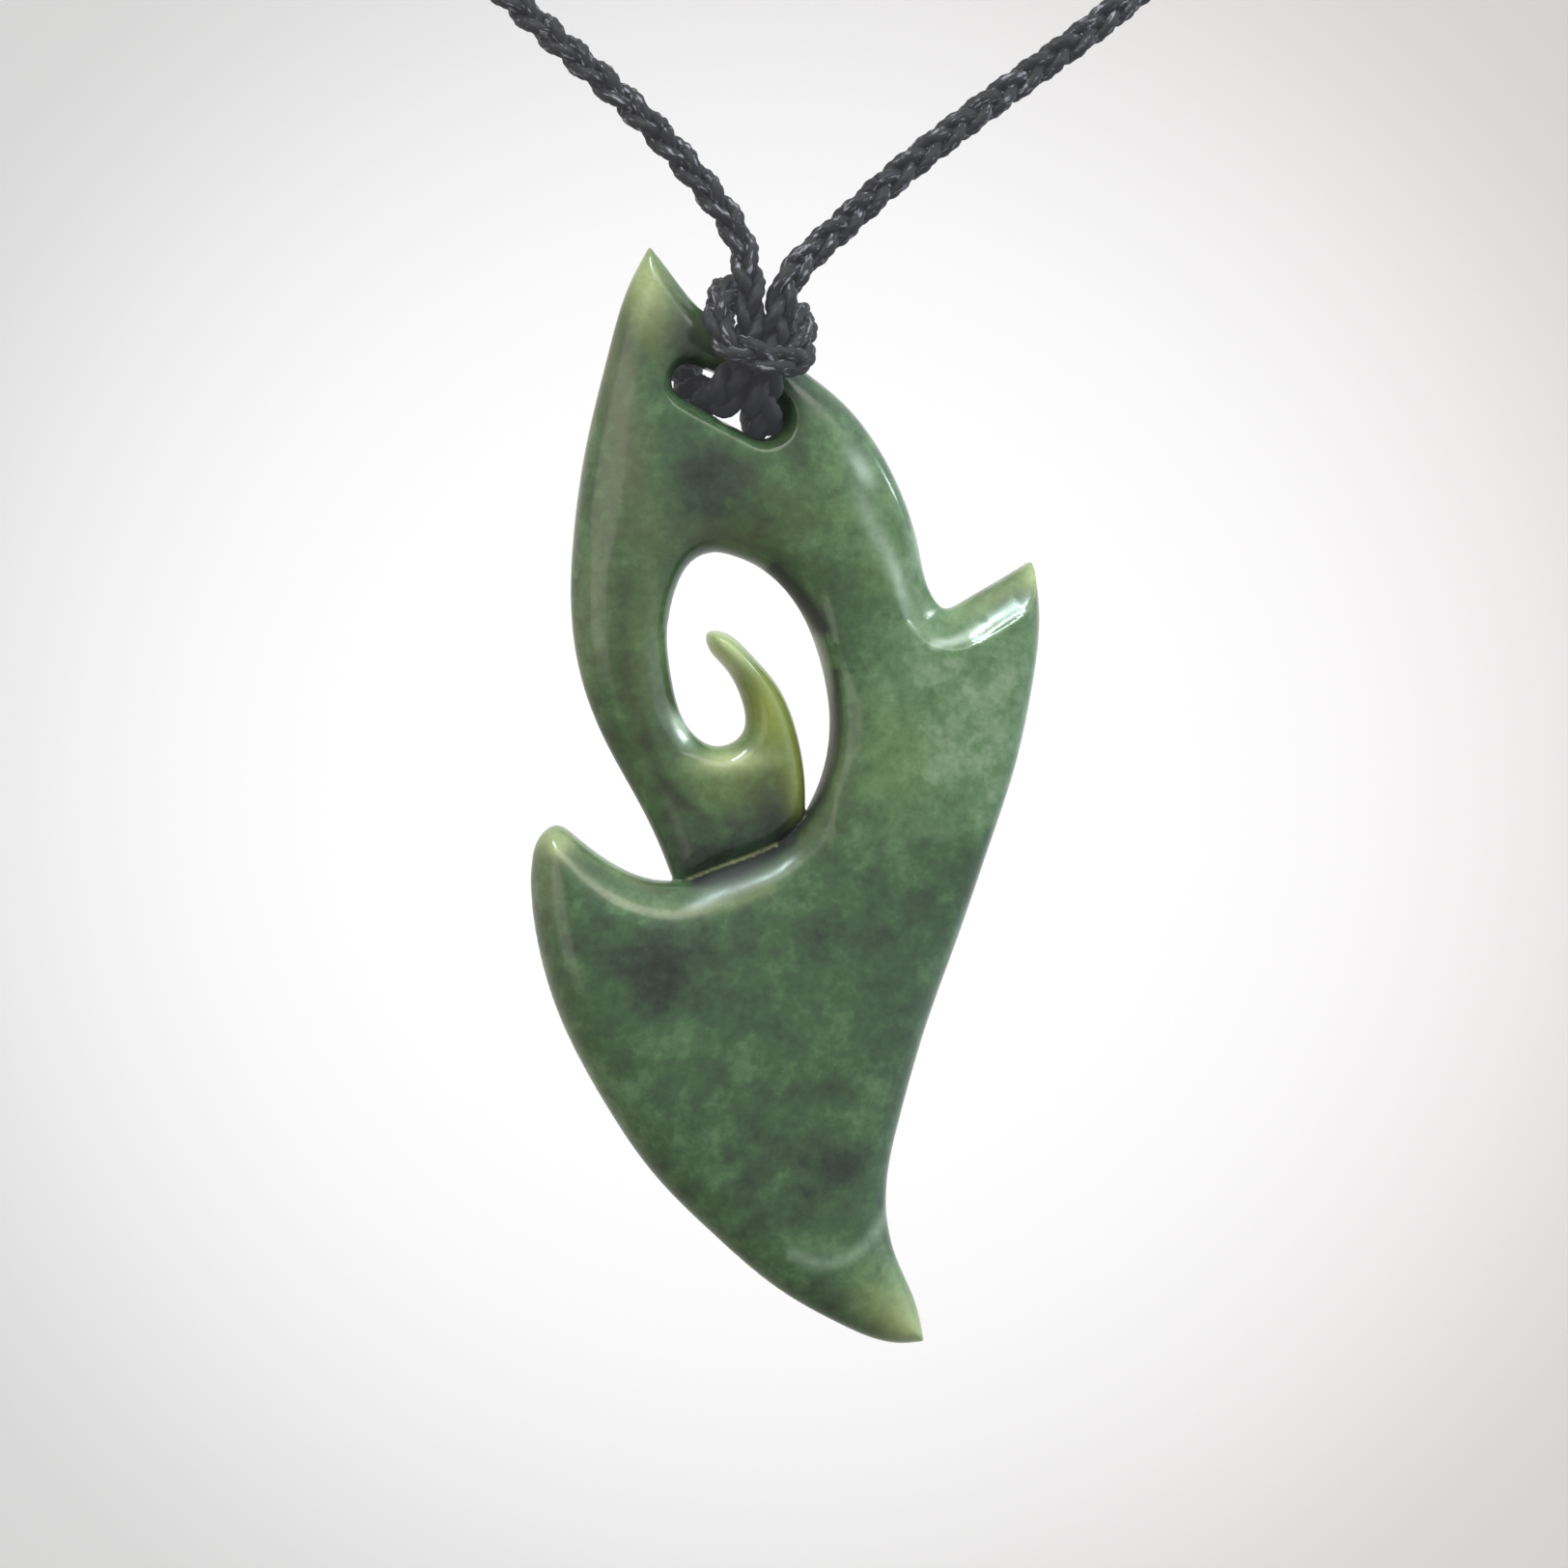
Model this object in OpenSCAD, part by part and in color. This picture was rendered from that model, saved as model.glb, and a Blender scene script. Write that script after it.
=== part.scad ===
// Carved jade koru pendant on a closed loop of plaited cord, in millimetres.
// Origin: centre of the closing knot, where the loop rests on the back of the neck. +Z is up, the front faces -Y.
// The carving and the hitch are drawn from the hang point, the middle of the rim that the cord is tied round.

/* [Carving] */
// Height of the carving from its top tip to its bottom tip
carving_h = 68; // [67:0.5:70]
// Greatest thickness of the leaf and the crown
body_t = 6; // [5.4:0.1:6.2]
// Thickness of the curl, whose faces lie lower than the leaf's
curl_t = 4.3; // [3.6:0.1:4.8]
// Roundness of the faces: 2 is an ellipse, and more is flatter with rounder edges
face_power = 2.6; // [2.2:0.1:3.2]
// Width of the slanted cord hole at its upper left end
hole_narrow = 2.3; // [2.3:0.05:2.4]
// Width of the cord hole at its lower right end
hole_wide = 2.8; // [2.75:0.05:2.95]

/* [Cord] */
// Diameter of the plain tube that stands for the plaited cord
cord_d = 1.6; // [1.4:0.05:1.65]
// Diameter of the closing knot
knot_d = 4.4; // [3.6:0.2:6]
// Length of the closing knot
knot_l = 9; // [9:0.5:12]

/* [Wearing] */
// Height of the nape above the hang point
neck_drop = 116; // [106:1:126]
// Distance from the nape forward to the hang point
neck_reach = 126; // [116:1:136]

/* [Hidden] */

hang_point = [0, -neck_reach, -neck_drop];
drawn_h = 68;
carving_scale = carving_h / drawn_h;
profile_sides = 12;
cord_sides = 8;
knot_round = 0.9;

// Rows across the carving. Columns: z, left edge x, right edge x, thickness as a share of body_t.
crown_rows = [
    [6.9, -7.2, -7.0, 0.13],
    [6.0, -7.75, -6.35, 0.3],
    [4.5, -8.3, -5.3, 0.5],
    [3.0, -8.85, -3.8, 0.65],
    [2.0, -9.2, -1.9, 0.71],
    [1.0, -9.45, -0.1, 0.75],
    [0, -9.75, 1.4, 0.77],
    [-1, -10, 2.9, 0.8],
    [-2.5, -10.35, 4.8, 0.84],
    [-4.2, -10.75, 6.2, 0.88],
    [-6.9, -11.2, 8.0, 0.95],
    [-10, -11.7, 9.2, 1],
    [-12, -11.9, 9.75, 1],
];
shoulder_rows = [
    [-12, -1.5, 9.75, 1],
    [-13.2, 0.2, 10.15, 1],
    [-14.6, 1.65, 10.55, 1],
    [-15.4, 2.2, 11.3, 1],
];
spike_rows = [
    [-15.4, 11.9, 17.3, 0.56],
    [-14.9, 12.7, 17.25, 0.5],
    [-14.3, 13.8, 17.2, 0.43],
    [-13.5, 15.0, 17.1, 0.33],
    [-12.8, 16.2, 16.98, 0.2],
    [-12.5, 16.75, 16.95, 0.12],
];
wall_rows = [
    [-15.4, 2.2, 17.3, 1],
    [-18, 3.35, 17.15, 1],
    [-20.5, 4.05, 16.8, 1],
    [-23, 4.25, 16.35, 1],
    [-25.7, 3.75, 15.65, 1],
    [-28, 2.85, 14.9, 1],
    [-30.2, 1.3, 14.15, 1],
    [-31.6, -0.4, 13.7, 1],
    [-32.6, -4.5, 13.35, 1],
];
barb_rows = [
    [-28.9, -12.9, -12.4, 0.2],
    [-29.7, -14.0, -11.6, 0.43],
    [-30.4, -14.25, -10.8, 0.57],
    [-31.2, -14.4, -9.5, 0.7],
    [-31.9, -14.4, -8.1, 0.8],
    [-32.6, -14.4, -4.5, 0.9],
];
leaf_rows = [
    [-32.6, -14.4, 13.35, 1],
    [-35.2, -14.2, 12.4, 1],
    [-38, -13.65, 11.55, 0.98],
    [-40.5, -12.75, 10.55, 0.95],
    [-43, -11.55, 9.65, 0.92],
    [-46, -9.9, 8.8, 0.87],
    [-49, -7.9, 8.1, 0.82],
    [-51.5, -5.85, 7.75, 0.77],
    [-53.8, -3.5, 7.9, 0.7],
    [-56.1, -0.8, 8.5, 0.62],
    [-58, 1.5, 9.25, 0.52],
    [-59.6, 4.3, 9.9, 0.4],
    [-60.6, 6.6, 10.1, 0.28],
    [-61.1, 8.5, 9.9, 0.17],
];

// Sections along the left limb, the curl and the hook. Columns: outer edge x and z, inner edge x and z,
// thickness as a share of curl_t.
koru_rows = [
    [-11.9, -12.0, -3.9, -12.0, 1.36],
    [-12.0, -13.2, -5.0, -13.1, 1.33],
    [-12.0, -15.0, -5.85, -15.0, 1.3],
    [-11.8, -17.6, -6.0, -17.2, 1.26],
    [-11.2, -20.2, -5.75, -19.9, 1.21],
    [-10.3, -22.7, -5.0, -22.1, 1.16],
    [-9.3, -24.8, -4.1, -23.6, 1.12],
    [-8.1, -26.9, -3.2, -24.0, 1.07],
    [-6.9, -29.2, -2.6, -24.0, 1.02],
    [-5.7, -31.9, -2.1, -23.9, 1],
    [-3.0, -33.2, -1.7, -23.6, 1],
    [0.6, -31.8, -1.3, -23.2, 0.98],
    [2.3, -29.5, -1.1, -22.6, 0.95],
    [2.6, -27.0, -1.2, -21.8, 0.93],
    [2.4, -24.6, -1.5, -20.9, 0.88],
    [1.8, -22.2, -2.0, -19.8, 0.81],
    [0.9, -20.4, -2.6, -18.9, 0.72],
    [-0.2, -18.8, -3.2, -18.1, 0.6],
    [-1.6, -17.5, -3.6, -17.5, 0.49],
    [-2.7, -16.9, -3.5, -17.0, 0.35],
];

// Middles of the cord hole's two round ends
hole_left_mid = [-4.65, -1.5];
hole_right_mid = [-0.2, -3.58];

// Route of the cord's middle line. The neck's points are from the nape, for a nape 116 above and 126 behind the
// hang point, and the hitch's are from the hang point.
drawn_drop = 116;
drawn_reach = 126;
left_neck = [
    [-16, -0.6, -0.8],
    [-34, -4.5, -3],
    [-49, -16, -8],
    [-58, -34, -17],
    [-60, -54, -30],
    [-55, -73, -44],
    [-46, -89.5, -58],
    [-35, -103.5, -71],
    [-23.5, -114, -83.5],
];
right_neck = [
    [33, -109.5, -85],
    [43.5, -99, -73],
    [52, -86, -60],
    [58, -70, -46],
    [60.5, -52, -31],
    [58, -33, -17.5],
    [49, -16, -8],
    [34, -4.5, -3],
    [16, -0.6, -0.8],
];
left_leg = [
    [-14.3, 5.5, 22],
    [-9.6, 2.5, 17.3],
    [-6.3, 0.7, 13.8],
];
right_leg = [
    [7.6, 0.6, 10.7],
    [11.9, 2.8, 14.1],
    [16.3, 5.2, 17.3],
    [22.9, 8.5, 22],
];
// From the left leg: down the front of the rim, through the hole, up the back, over the rim, across the front as
// the bar, and the same way back for the right leg.
hitch_route = [
    [-3.3, -0.7, 10.0],
    [-1.85, -1.7, 7.5],
    [-1.3, -2.5, 5.0],
    [-1.25, -3.05, 2.9],
    [-1.55, -3.25, 1.1],
    [-2.1, -3.4, -0.6],
    [-2.5, -3.0, -1.9],
    [-2.9, -1.7, -2.55],
    [-3.4, -0.3, -2.4],
    [-3.9, 1.0, -2.1],
    [-4.35, 2.2, -1.65],
    [-4.5, 3.25, -0.75],
    [-4.1, 3.4, 0.8],
    [-2.9, 3.2, 2.3],
    [-2.1, 2.2, 3.7],
    [-2.15, 0.8, 4.35],
    [-2.45, -0.8, 4.25],
    [-2.95, -2.4, 3.45],
    [-3.3, -3.5, 2.1],
    [-3.05, -4.4, 0.9],
    [-2.1, -5.0, 0.2],
    [-0.9, -5.15, -0.15],
    [0.3, -5.0, -0.45],
    [1.3, -4.5, -0.35],
    [1.85, -3.65, 0.45],
    [2.1, -2.5, 1.7],
    [2.2, -0.9, 2.6],
    [2.3, 0.8, 2.6],
    [2.35, 2.3, 1.7],
    [1.95, 3.6, 0.15],
    [1.15, 3.8, -1.5],
    [0.35, 3.0, -3.3],
    [0.1, 1.3, -3.85],
    [0.0, -0.2, -4.0],
    [-0.35, -1.7, -3.85],
    [-0.5, -3.0, -2.85],
    [-0.35, -3.45, -1.1],
    [0.1, -3.3, 0.7],
    [0.5, -3.05, 2.6],
    [1.1, -2.5, 4.4],
    [2.3, -1.7, 6.0],
    [4.0, -0.9, 7.5],
];

// A neck point moved with the nape: it stretches in step with the drop and the reach
function worn(p) = [p.x, p.y * neck_reach / drawn_reach, p.z * neck_drop / drawn_drop];
function hung(p) = hang_point + p;
function unit(v) = v / norm(v);
function pick(list, i) = list[max(0, min(len(list) - 1, i))];

// A point on the smooth curve through the list, halfway along the span that starts at point i
function mid_span(p, i) = (9 * (p[i] + p[i + 1]) - pick(p, i - 1) - pick(p, i + 2)) / 16;

// The list with a point added in the middle of each of its spans from first to last
function with_middles(p, first, last) =
    [for (i = [0:len(p) - 1]) each (i >= first && i < last ? [p[i], mid_span(p, i)] : [p[i]])];

left_points = [
    [-knot_l / 2, 0, 0],
    for (p = left_neck) worn(p),
    for (p = left_leg) hung(p),
];
hitch_points = [for (p = hitch_route) hung(p)];
right_points = [
    for (p = right_leg) hung(p),
    for (p = right_neck) worn(p),
    [knot_l / 2, 0, 0],
];
cord_points = concat(left_points, hitch_points, right_points);
left_count = len(left_points);
right_first = left_count + len(hitch_points);

// The long spans round the neck get a ring in their middle, the right side first so that the left keeps its numbers
right_dense = with_middles(cord_points, right_first + len(right_leg) - 1, len(cord_points) - 1);
cord_rings = with_middles(right_dense, 0, len(left_neck) + 1);
added_left = len(cord_rings) - len(right_dense);
hitch_start = left_count + added_left;
hitch_end = right_first + added_left - 1;
cord_last = len(cord_rings) - 1;

// Direction of the cord at each ring, along X at the two ends in the knot
cord_directions = [
    for (i = [0:cord_last])
        i == 0 ? [-1, 0, 0] : i == cord_last ? [-1, 0, 0] : unit(cord_rings[i + 1] - cord_rings[i - 1])
];

// Each ring's first radius is the last one's, turned as little as the new direction asks for
cord_radii = [
    for (
        i = 0, r = [0, 0, 1];
        i <= cord_last;
        i = i + 1, r = i > cord_last ? r : unit(r - (r * cord_directions[i]) * cord_directions[i])
    ) r
];

// Closed tube along the rings from first to last, wound so that its faces point outwards
module cord_tube(first, last) {
    rings = last - first + 1;
    points = [
        for (i = [first:last], k = [0:cord_sides - 1])
            let (
                a = 360 * k / cord_sides,
                side = cross(cord_directions[i], cord_radii[i])
            )
            cord_rings[i] + cord_d / 2 * (cos(a) * cord_radii[i] + sin(a) * side)
    ];
    polyhedron(points, tube_faces(rings, cord_sides), convexity = 6);
}

function signed_power(v, power) = sign(v) * pow(abs(v), power);

// Ring across the carving from point a to point b, each [x, z], with round edges and bowed faces
function section(a, b, t) = [
    for (k = [0:profile_sides - 1])
        let (
            angle = 360 * k / profile_sides,
            across = (a + b) / 2 + (b - a) / 2 * signed_power(cos(angle), 2 / face_power)
        )
        [across.x, t / 2 * signed_power(sin(angle), 2 / face_power), across.y]
];

function level_section(row) = section([row[1], row[0]], [row[2], row[0]], row[3] * body_t);
function koru_section(row) = section([row[0], row[1]], [row[2], row[3]], row[4] * curl_t);

// Faces of a tube through rings that have the same number of points, with both ends closed
function tube_faces(rings, sides) = [
    for (i = [0:rings - 2], k = [0:sides - 1])
        let (
            a = i * sides + k,
            b = i * sides + (k + 1) % sides
        )
        each [[a, a + sides, b], [b, a + sides, b + sides]],
    [for (k = [0:sides - 1]) k],
    [for (k = [sides - 1:-1:0]) (rings - 1) * sides + k],
];

// Each section joined to the next
module joined(sections) {
    for (i = [0:len(sections) - 2])
        hull()
            polyhedron(concat(sections[i], sections[i + 1]), tube_faces(2, profile_sides));
}

module rows(table) {
    joined([for (row = table) level_section(row)]);
}

module koru() {
    joined([for (row = koru_rows) koru_section(row)]);
}

module cord_hole() {
    rotate([90, 0, 0])
        hull() {
            translate(hole_left_mid) cylinder(h = 2 * body_t, d = hole_narrow, center = true, $fn = 24);
            translate(hole_right_mid) cylinder(h = 2 * body_t, d = hole_wide, center = true, $fn = 24);
        }
}

module pendant() {
    color("#4f6b52")
        translate(hang_point)
            scale(carving_scale)
                difference() {
                    union() {
                        rows(crown_rows);
                        rows(shoulder_rows);
                        rows(spike_rows);
                        rows(wall_rows);
                        rows(barb_rows);
                        rows(leaf_rows);
                        koru();
                    }
                    cord_hole();
                }
}

module hitch() {
    color("#2b2b2e") cord_tube(hitch_start, hitch_end);
}

module cord_left() {
    color("#2b2b2e") cord_tube(0, hitch_start);
}

module cord_right() {
    color("#2b2b2e") cord_tube(hitch_end, cord_last);
}

// Barrel with rounded ends along X
module nape_knot() {
    color("#2b2b2e")
        rotate([0, 90, 0])
            translate([0, 0, -knot_l / 2])
                rotate_extrude($fn = 48) {
                    square([knot_d / 2 - knot_round, knot_l]);
                    translate([0, knot_round]) square([knot_d / 2, knot_l - 2 * knot_round]);
                    for (end = [knot_round, knot_l - knot_round])
                        translate([knot_d / 2 - knot_round, end]) circle(r = knot_round, $fn = 32);
                }
}

pendant();
hitch();
cord_left();
cord_right();
nape_knot();
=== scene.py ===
"""Jade koru pendant on a plaited neck cord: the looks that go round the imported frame.

Lengths are in millimetres until a mesh is made, which is in metres. Places on the carving and on the hitch
are measured from the hang point, the middle of the rim that the cord is tied round, and places on the neck
from the nape, which is the frame's origin. +X is to the right of the picture, -Y is the front and +Z is up.
"""

import logging
import math
from dataclasses import dataclass
from enum import Enum

import bpy
import numpy as np
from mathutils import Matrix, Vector


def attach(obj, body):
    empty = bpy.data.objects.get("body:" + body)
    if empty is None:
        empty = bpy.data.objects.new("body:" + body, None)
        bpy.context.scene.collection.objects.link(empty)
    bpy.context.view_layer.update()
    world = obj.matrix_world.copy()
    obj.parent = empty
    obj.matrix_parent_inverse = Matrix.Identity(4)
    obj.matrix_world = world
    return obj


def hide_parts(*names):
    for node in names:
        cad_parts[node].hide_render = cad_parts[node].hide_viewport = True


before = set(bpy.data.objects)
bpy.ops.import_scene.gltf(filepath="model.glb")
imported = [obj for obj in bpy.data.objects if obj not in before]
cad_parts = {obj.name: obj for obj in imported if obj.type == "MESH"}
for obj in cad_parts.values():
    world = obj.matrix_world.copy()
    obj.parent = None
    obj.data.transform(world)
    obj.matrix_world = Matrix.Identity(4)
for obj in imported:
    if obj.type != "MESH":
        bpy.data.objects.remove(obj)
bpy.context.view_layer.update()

LOG = logging.getLogger("pendant")
Array = np.ndarray
Pair = tuple[float, float]
Points = tuple[tuple[float, ...], ...]
Mesh = tuple[Array, list, Array]
Material = bpy.types.Material
Tree = bpy.types.NodeTree
Node = bpy.types.Node
Piece = bpy.types.Object

MM = 0.001
HANG = (0.0, -126.0, -116.0)


class Slot(Enum):
    """Material slots of the record."""

    JADE = "jade"
    CORD = "cord"


class Face(Enum):
    """Which of the carving's two overlapping forms a cut belongs to."""

    LEAF = "leaf"
    CURL = "curl"
    BOTH = "both"


# Shared tools


def linear(code: str) -> tuple[float, float, float, float]:
    """Turns an sRGB hex colour into linear light.

    Args:
        code: Six hex digits.

    Returns:
        Red, green, blue and an alpha of 1.
    """
    parts = [int(code[i : i + 2], 16) / 255 for i in (0, 2, 4)]
    light = [c / 12.92 if c <= 0.04045 else ((c + 0.055) / 1.055) ** 2.4 for c in parts]
    return (light[0], light[1], light[2], 1.0)


def per_mm(period: float) -> float:
    """Gives the noise scale, per metre, whose features are about one period apart in millimetres."""
    return 1.0 / (period * MM)


def fade(value: Array, start: float, end: float) -> Array:
    """Rises smoothly from 0 at start to 1 at end: three times the share's square less twice its cube."""
    t = np.clip((value - start) / (end - start), 0, 1)
    return t * t * (3 - 2 * t)


def spot(x: Array, z: Array, place: Pair, size: Pair, turn: float = 0.0) -> Array:
    """Soft oval patch: e to the minus square of the distance from its middle, measured in its own sizes.

    Args:
        x: Sideways places.
        z: Heights.
        place: Middle of the patch.
        size: Half width and half height of the patch.
        turn: Angle of its width above the horizontal, in degrees.

    Returns:
        Strengths from 0 to 1.
    """
    c, s = math.cos(math.radians(turn)), math.sin(math.radians(turn))
    dx, dz = x - place[0], z - place[1]
    return np.exp(-(((dx * c + dz * s) / size[0]) ** 2) - ((dz * c - dx * s) / size[1]) ** 2)


def streak(x: Array, z: Array, way: Points, width: float) -> Array:
    """Soft line: e to the minus square of the distance from a curve, measured in half widths.

    Args:
        x: Sideways places.
        z: Heights.
        way: Points that the curve goes through.
        width: Half width of the line.

    Returns:
        Strengths from 0 to 1.
    """
    line = spline(way, width / 2)
    low, high = line.min(0) - 3 * width, line.max(0) + 3 * width
    near = np.flatnonzero((x > low[0]) & (x < high[0]) & (z > low[1]) & (z < high[1]))
    square = (x[near, None] - line[:, 0]) ** 2 + (z[near, None] - line[:, 1]) ** 2
    strength = np.zeros_like(x)
    strength[near] = np.exp(-square.min(1) / width**2)
    return strength


def soft_min(a: Array, b: Array, blend: float) -> Array:
    """Smaller of two fields, with a round of the given height where they meet."""
    overlap = np.maximum(blend - np.abs(a - b), 0)
    return np.minimum(a, b) - overlap**2 / (4 * blend)


def unit(v: Array) -> Array:
    """Each row at a length of one."""
    return v / np.linalg.norm(v, axis=-1, keepdims=True)


def lengths(line: Array) -> Array:
    """Length along a line at each of its points."""
    return np.concatenate(([0.0], np.cumsum(np.linalg.norm(np.diff(line, axis=0), axis=1))))


def at_lengths(line: Array, where: Array) -> Array:
    """Places on a line at the given lengths along it."""
    length = lengths(line)
    return np.stack([np.interp(where, length, column) for column in line.T], axis=1)


def spline(points: Points | Array, step: float) -> Array:
    """Carries a natural cubic spline through the points and cuts it into equal steps of its length.

    Between two points the curve is a cubic whose bend goes evenly from one point's to the next one's. The
    bends solve one equation for each point, which says that the slopes on its two sides are the same.

    Args:
        points: Points that the curve goes through, in two or three dimensions.
        step: Greatest distance between the points that come back.

    Returns:
        Points along the curve, one row each.
    """
    p = np.asarray(points, float)
    t = lengths(p)
    gap = np.diff(t)
    rise = np.diff(p, axis=0) / gap[:, None]
    matrix = np.eye(len(p))
    row = np.arange(1, len(p) - 1)
    matrix[row, row - 1] = gap[:-1]
    matrix[row, row] = 2 * (gap[:-1] + gap[1:])
    matrix[row, row + 1] = gap[1:]
    wanted = np.zeros_like(p)
    wanted[1:-1] = 6 * np.diff(rise, axis=0)
    bend = np.linalg.solve(matrix, wanted)
    u = np.linspace(0, t[-1], int(8 * t[-1] / step) + 2)
    i = np.clip(np.searchsorted(t, u, side="right") - 1, 0, len(p) - 2)
    width = gap[i][:, None]
    a = (t[i + 1] - u)[:, None] / width
    b = 1 - a
    fine = a * p[i] + b * p[i + 1] + ((a**3 - a) * bend[i] + (b**3 - b) * bend[i + 1]) * width**2 / 6
    whole = lengths(fine)[-1]
    return at_lengths(fine, np.linspace(0, whole, math.ceil(whole / step) + 1))


def add_node(tree: Tree, kind: str, settings: dict | None = None, **inputs: object) -> Node:
    """Adds a node, sets it up and joins it.

    Args:
        tree: Node tree that it goes into.
        kind: Blender's name for the node, without the ShaderNode that it starts with.
        settings: Its own properties by name, and for a ramp its stops, each a place and a hex colour.
        inputs: Its sockets by name, with _ for a space or a number after an i for a place in the list. A
            value is set on the socket, and a socket or a node's first output is linked to it.

    Returns:
        The new node.
    """
    node = tree.nodes.new("ShaderNode" + kind)
    for name, value in (settings or {}).items():
        if name == "stops":
            for place, _ in value[2:]:
                node.color_ramp.elements.new(place)
            for element, (place, code) in zip(node.color_ramp.elements, value):
                element.position, element.color = place, linear(code)
        else:
            setattr(node, name, value)
    for name, value in inputs.items():
        socket = node.inputs[int(name[1:])] if name[1:].isdigit() else node.inputs[name.replace("_", " ")]
        if isinstance(value, Node):
            value = value.outputs[0]
        if isinstance(value, bpy.types.NodeSocket):
            tree.links.new(value, socket)
        else:
            socket.default_value = value
    return node


def new_material(name: str) -> tuple[Material, Tree]:
    """Makes an empty node material.

    Args:
        name: Name of the material.

    Returns:
        The material and its node tree.
    """
    material = bpy.data.materials.new(name)
    material.use_nodes = True
    material.node_tree.nodes.clear()
    return material, material.node_tree


def make_piece(name: str, points: Array, faces: list, material: Material) -> Piece:
    """Puts points and faces into a smooth mesh object at the origin.

    Args:
        name: Name of the piece.
        points: Points in millimetres from the frame's origin.
        faces: Rows of point numbers, counter-clockwise as seen from outside.
        material: Finish of every face.

    Returns:
        The new object.
    """
    mesh = bpy.data.meshes.new(name)
    mesh.from_pydata(points * MM, [], faces)
    mesh.polygons.foreach_set("use_smooth", np.ones(len(mesh.polygons), bool))
    mesh.materials.append(material)
    piece = bpy.data.objects.new(name, mesh)
    bpy.context.scene.collection.objects.link(piece)
    return piece


# Finishes


@dataclass(frozen=True)
class Nephrite:
    """Green nephrite jade, ground, sanded and wax polished.

    The stone is a felt of fine fibres in flakes of slightly different green, which look like torn clouds.
    Light goes a little way in: the body is soft and the polish gives broad clear highlights. Thin tips and
    edges glow a yellow green, partly from that light and partly as a glow painted into the colour, and more
    highlights, glints and sheens are painted in as tints. The ring's walls and the seam are painted dark as
    shade, and are duller there.
    """

    name: str = "polished_nephrite"
    refraction: float = 1.61
    polish: Pair = (0.11, 0.26)
    polish_mm: float = 2.5
    # Roughness added where the ring's walls and the seam are painted dark as shade
    shade_dulls: float = 0.3
    glow_share: float = 0.35
    glow_reach: tuple[float, float, float] = (0.5, 1.0, 0.4)
    glow_mm: float = 1.2
    # Period, detail and strength of each noise
    noises: Points = ((6.0, 3.0, 0.45), (1.6, 5.0, 0.65), (0.5, 3.0, 0.32))
    drift_mm: float = 1.4
    flake_mm: float = 2.0
    flake_share: float = 0.13
    greens: tuple[tuple[float, str], ...] = (
        (0.0, "2E3630"),
        (0.25, "3E4D3F"),
        (0.5, "4F6C4D"),
        (0.72, "6B8D65"),
        (1.0, "98B093"),
    )
    # Tints: olive is the stone's own; the others are painted sheen, highlight, glow and shade, with one real
    # whitish vein
    tints: tuple[tuple[str, str], ...] = (
        ("brown", "6F705A"),
        ("olive", "929B46"),
        ("cloud", "BDD2C0"),
        ("raw", "2F3534"),
        ("pale", "BECB97"),
    )

    def material(self) -> Material:
        """Builds the stone: noises and flakes shift a ramp of greens, and the carving's patterns tint it.
        Some of the tints are painted light and shade.

        Returns:
            The material.
        """
        material, tree = new_material(self.name)
        place = add_node(tree, "TexCoord").outputs["Object"]
        tone = add_node(tree, "Attribute", {"attribute_name": "tone"}).outputs["Fac"]
        for size, detail, amount in self.noises:
            scale = per_mm(size)
            grain = add_node(tree, "TexNoise", Vector=place, Scale=scale, Detail=detail, Roughness=0.62)
            tone = self.shifted(tree, tone, grain, amount)
        scale = per_mm(self.drift_mm)
        drift = add_node(tree, "TexNoise", Vector=place, Scale=scale, Detail=3.0, Roughness=0.6)
        pushed = add_node(
            tree,
            "VectorMath",
            {"operation": "MULTIPLY_ADD"},
            i0=drift.outputs["Color"],
            i1=(self.flake_mm * MM,) * 3,
            i2=place,
        )
        scale = per_mm(self.flake_mm)
        flakes = add_node(
            tree, "TexVoronoi", {"feature": "SMOOTH_F1"}, Vector=pushed, Scale=scale, Smoothness=0.25
        )
        flake = add_node(tree, "SeparateColor", Color=flakes.outputs["Color"])
        tone = self.shifted(tree, tone, flake, self.flake_share)
        colour = add_node(tree, "ValToRGB", {"stops": self.greens}, Fac=tone)
        frayed = add_node(tree, "Math", {"operation": "MULTIPLY_ADD"}, i0=grain, i1=0.6, i2=0.7)
        for attribute, code in self.tints:
            strength = add_node(tree, "Attribute", {"attribute_name": attribute}).outputs["Fac"]
            product = {"operation": "MULTIPLY", "use_clamp": True}
            share = add_node(tree, "Math", product, i0=strength, i1=frayed)
            mixed = add_node(tree, "Mix", {"data_type": "RGBA"}, i0=share, i6=colour, i7=linear(code))
            colour = mixed.outputs[2]
        scale = per_mm(self.polish_mm)
        wear_and_highlight = add_node(tree, "TexNoise", Vector=place, Scale=scale, Detail=4.0, Roughness=0.6)
        low, high = self.polish
        gloss = add_node(tree, "MapRange", Value=wear_and_highlight, From_Min=0.3, From_Max=0.7, To_Min=low, To_Max=high)
        # Walls painted dark as shade are also duller
        raw = add_node(tree, "Attribute", {"attribute_name": "raw"}).outputs["Fac"]
        dulled = add_node(tree, "Math", {"operation": "MULTIPLY_ADD"}, i0=raw, i1=self.shade_dulls, i2=gloss)
        shader = add_node(
            tree,
            "BsdfPrincipled",
            Base_Color=colour,
            Roughness=dulled,
            IOR=self.refraction,
            Subsurface_Weight=self.glow_share,
            Subsurface_Radius=self.glow_reach,
            Subsurface_Scale=self.glow_mm * MM,
        )
        add_node(tree, "OutputMaterial", Surface=shader)
        return material

    def shifted(self, tree: Tree, tone: Node, by: Node, amount: float) -> Node:
        """Adds to the tone how far a pattern is from a half, times the amount."""
        centred = add_node(tree, "Math", {"operation": "SUBTRACT"}, i0=by, i1=0.5)
        return add_node(tree, "Math", {"operation": "MULTIPLY_ADD"}, i0=centred, i1=amount, i2=tone)


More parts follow.
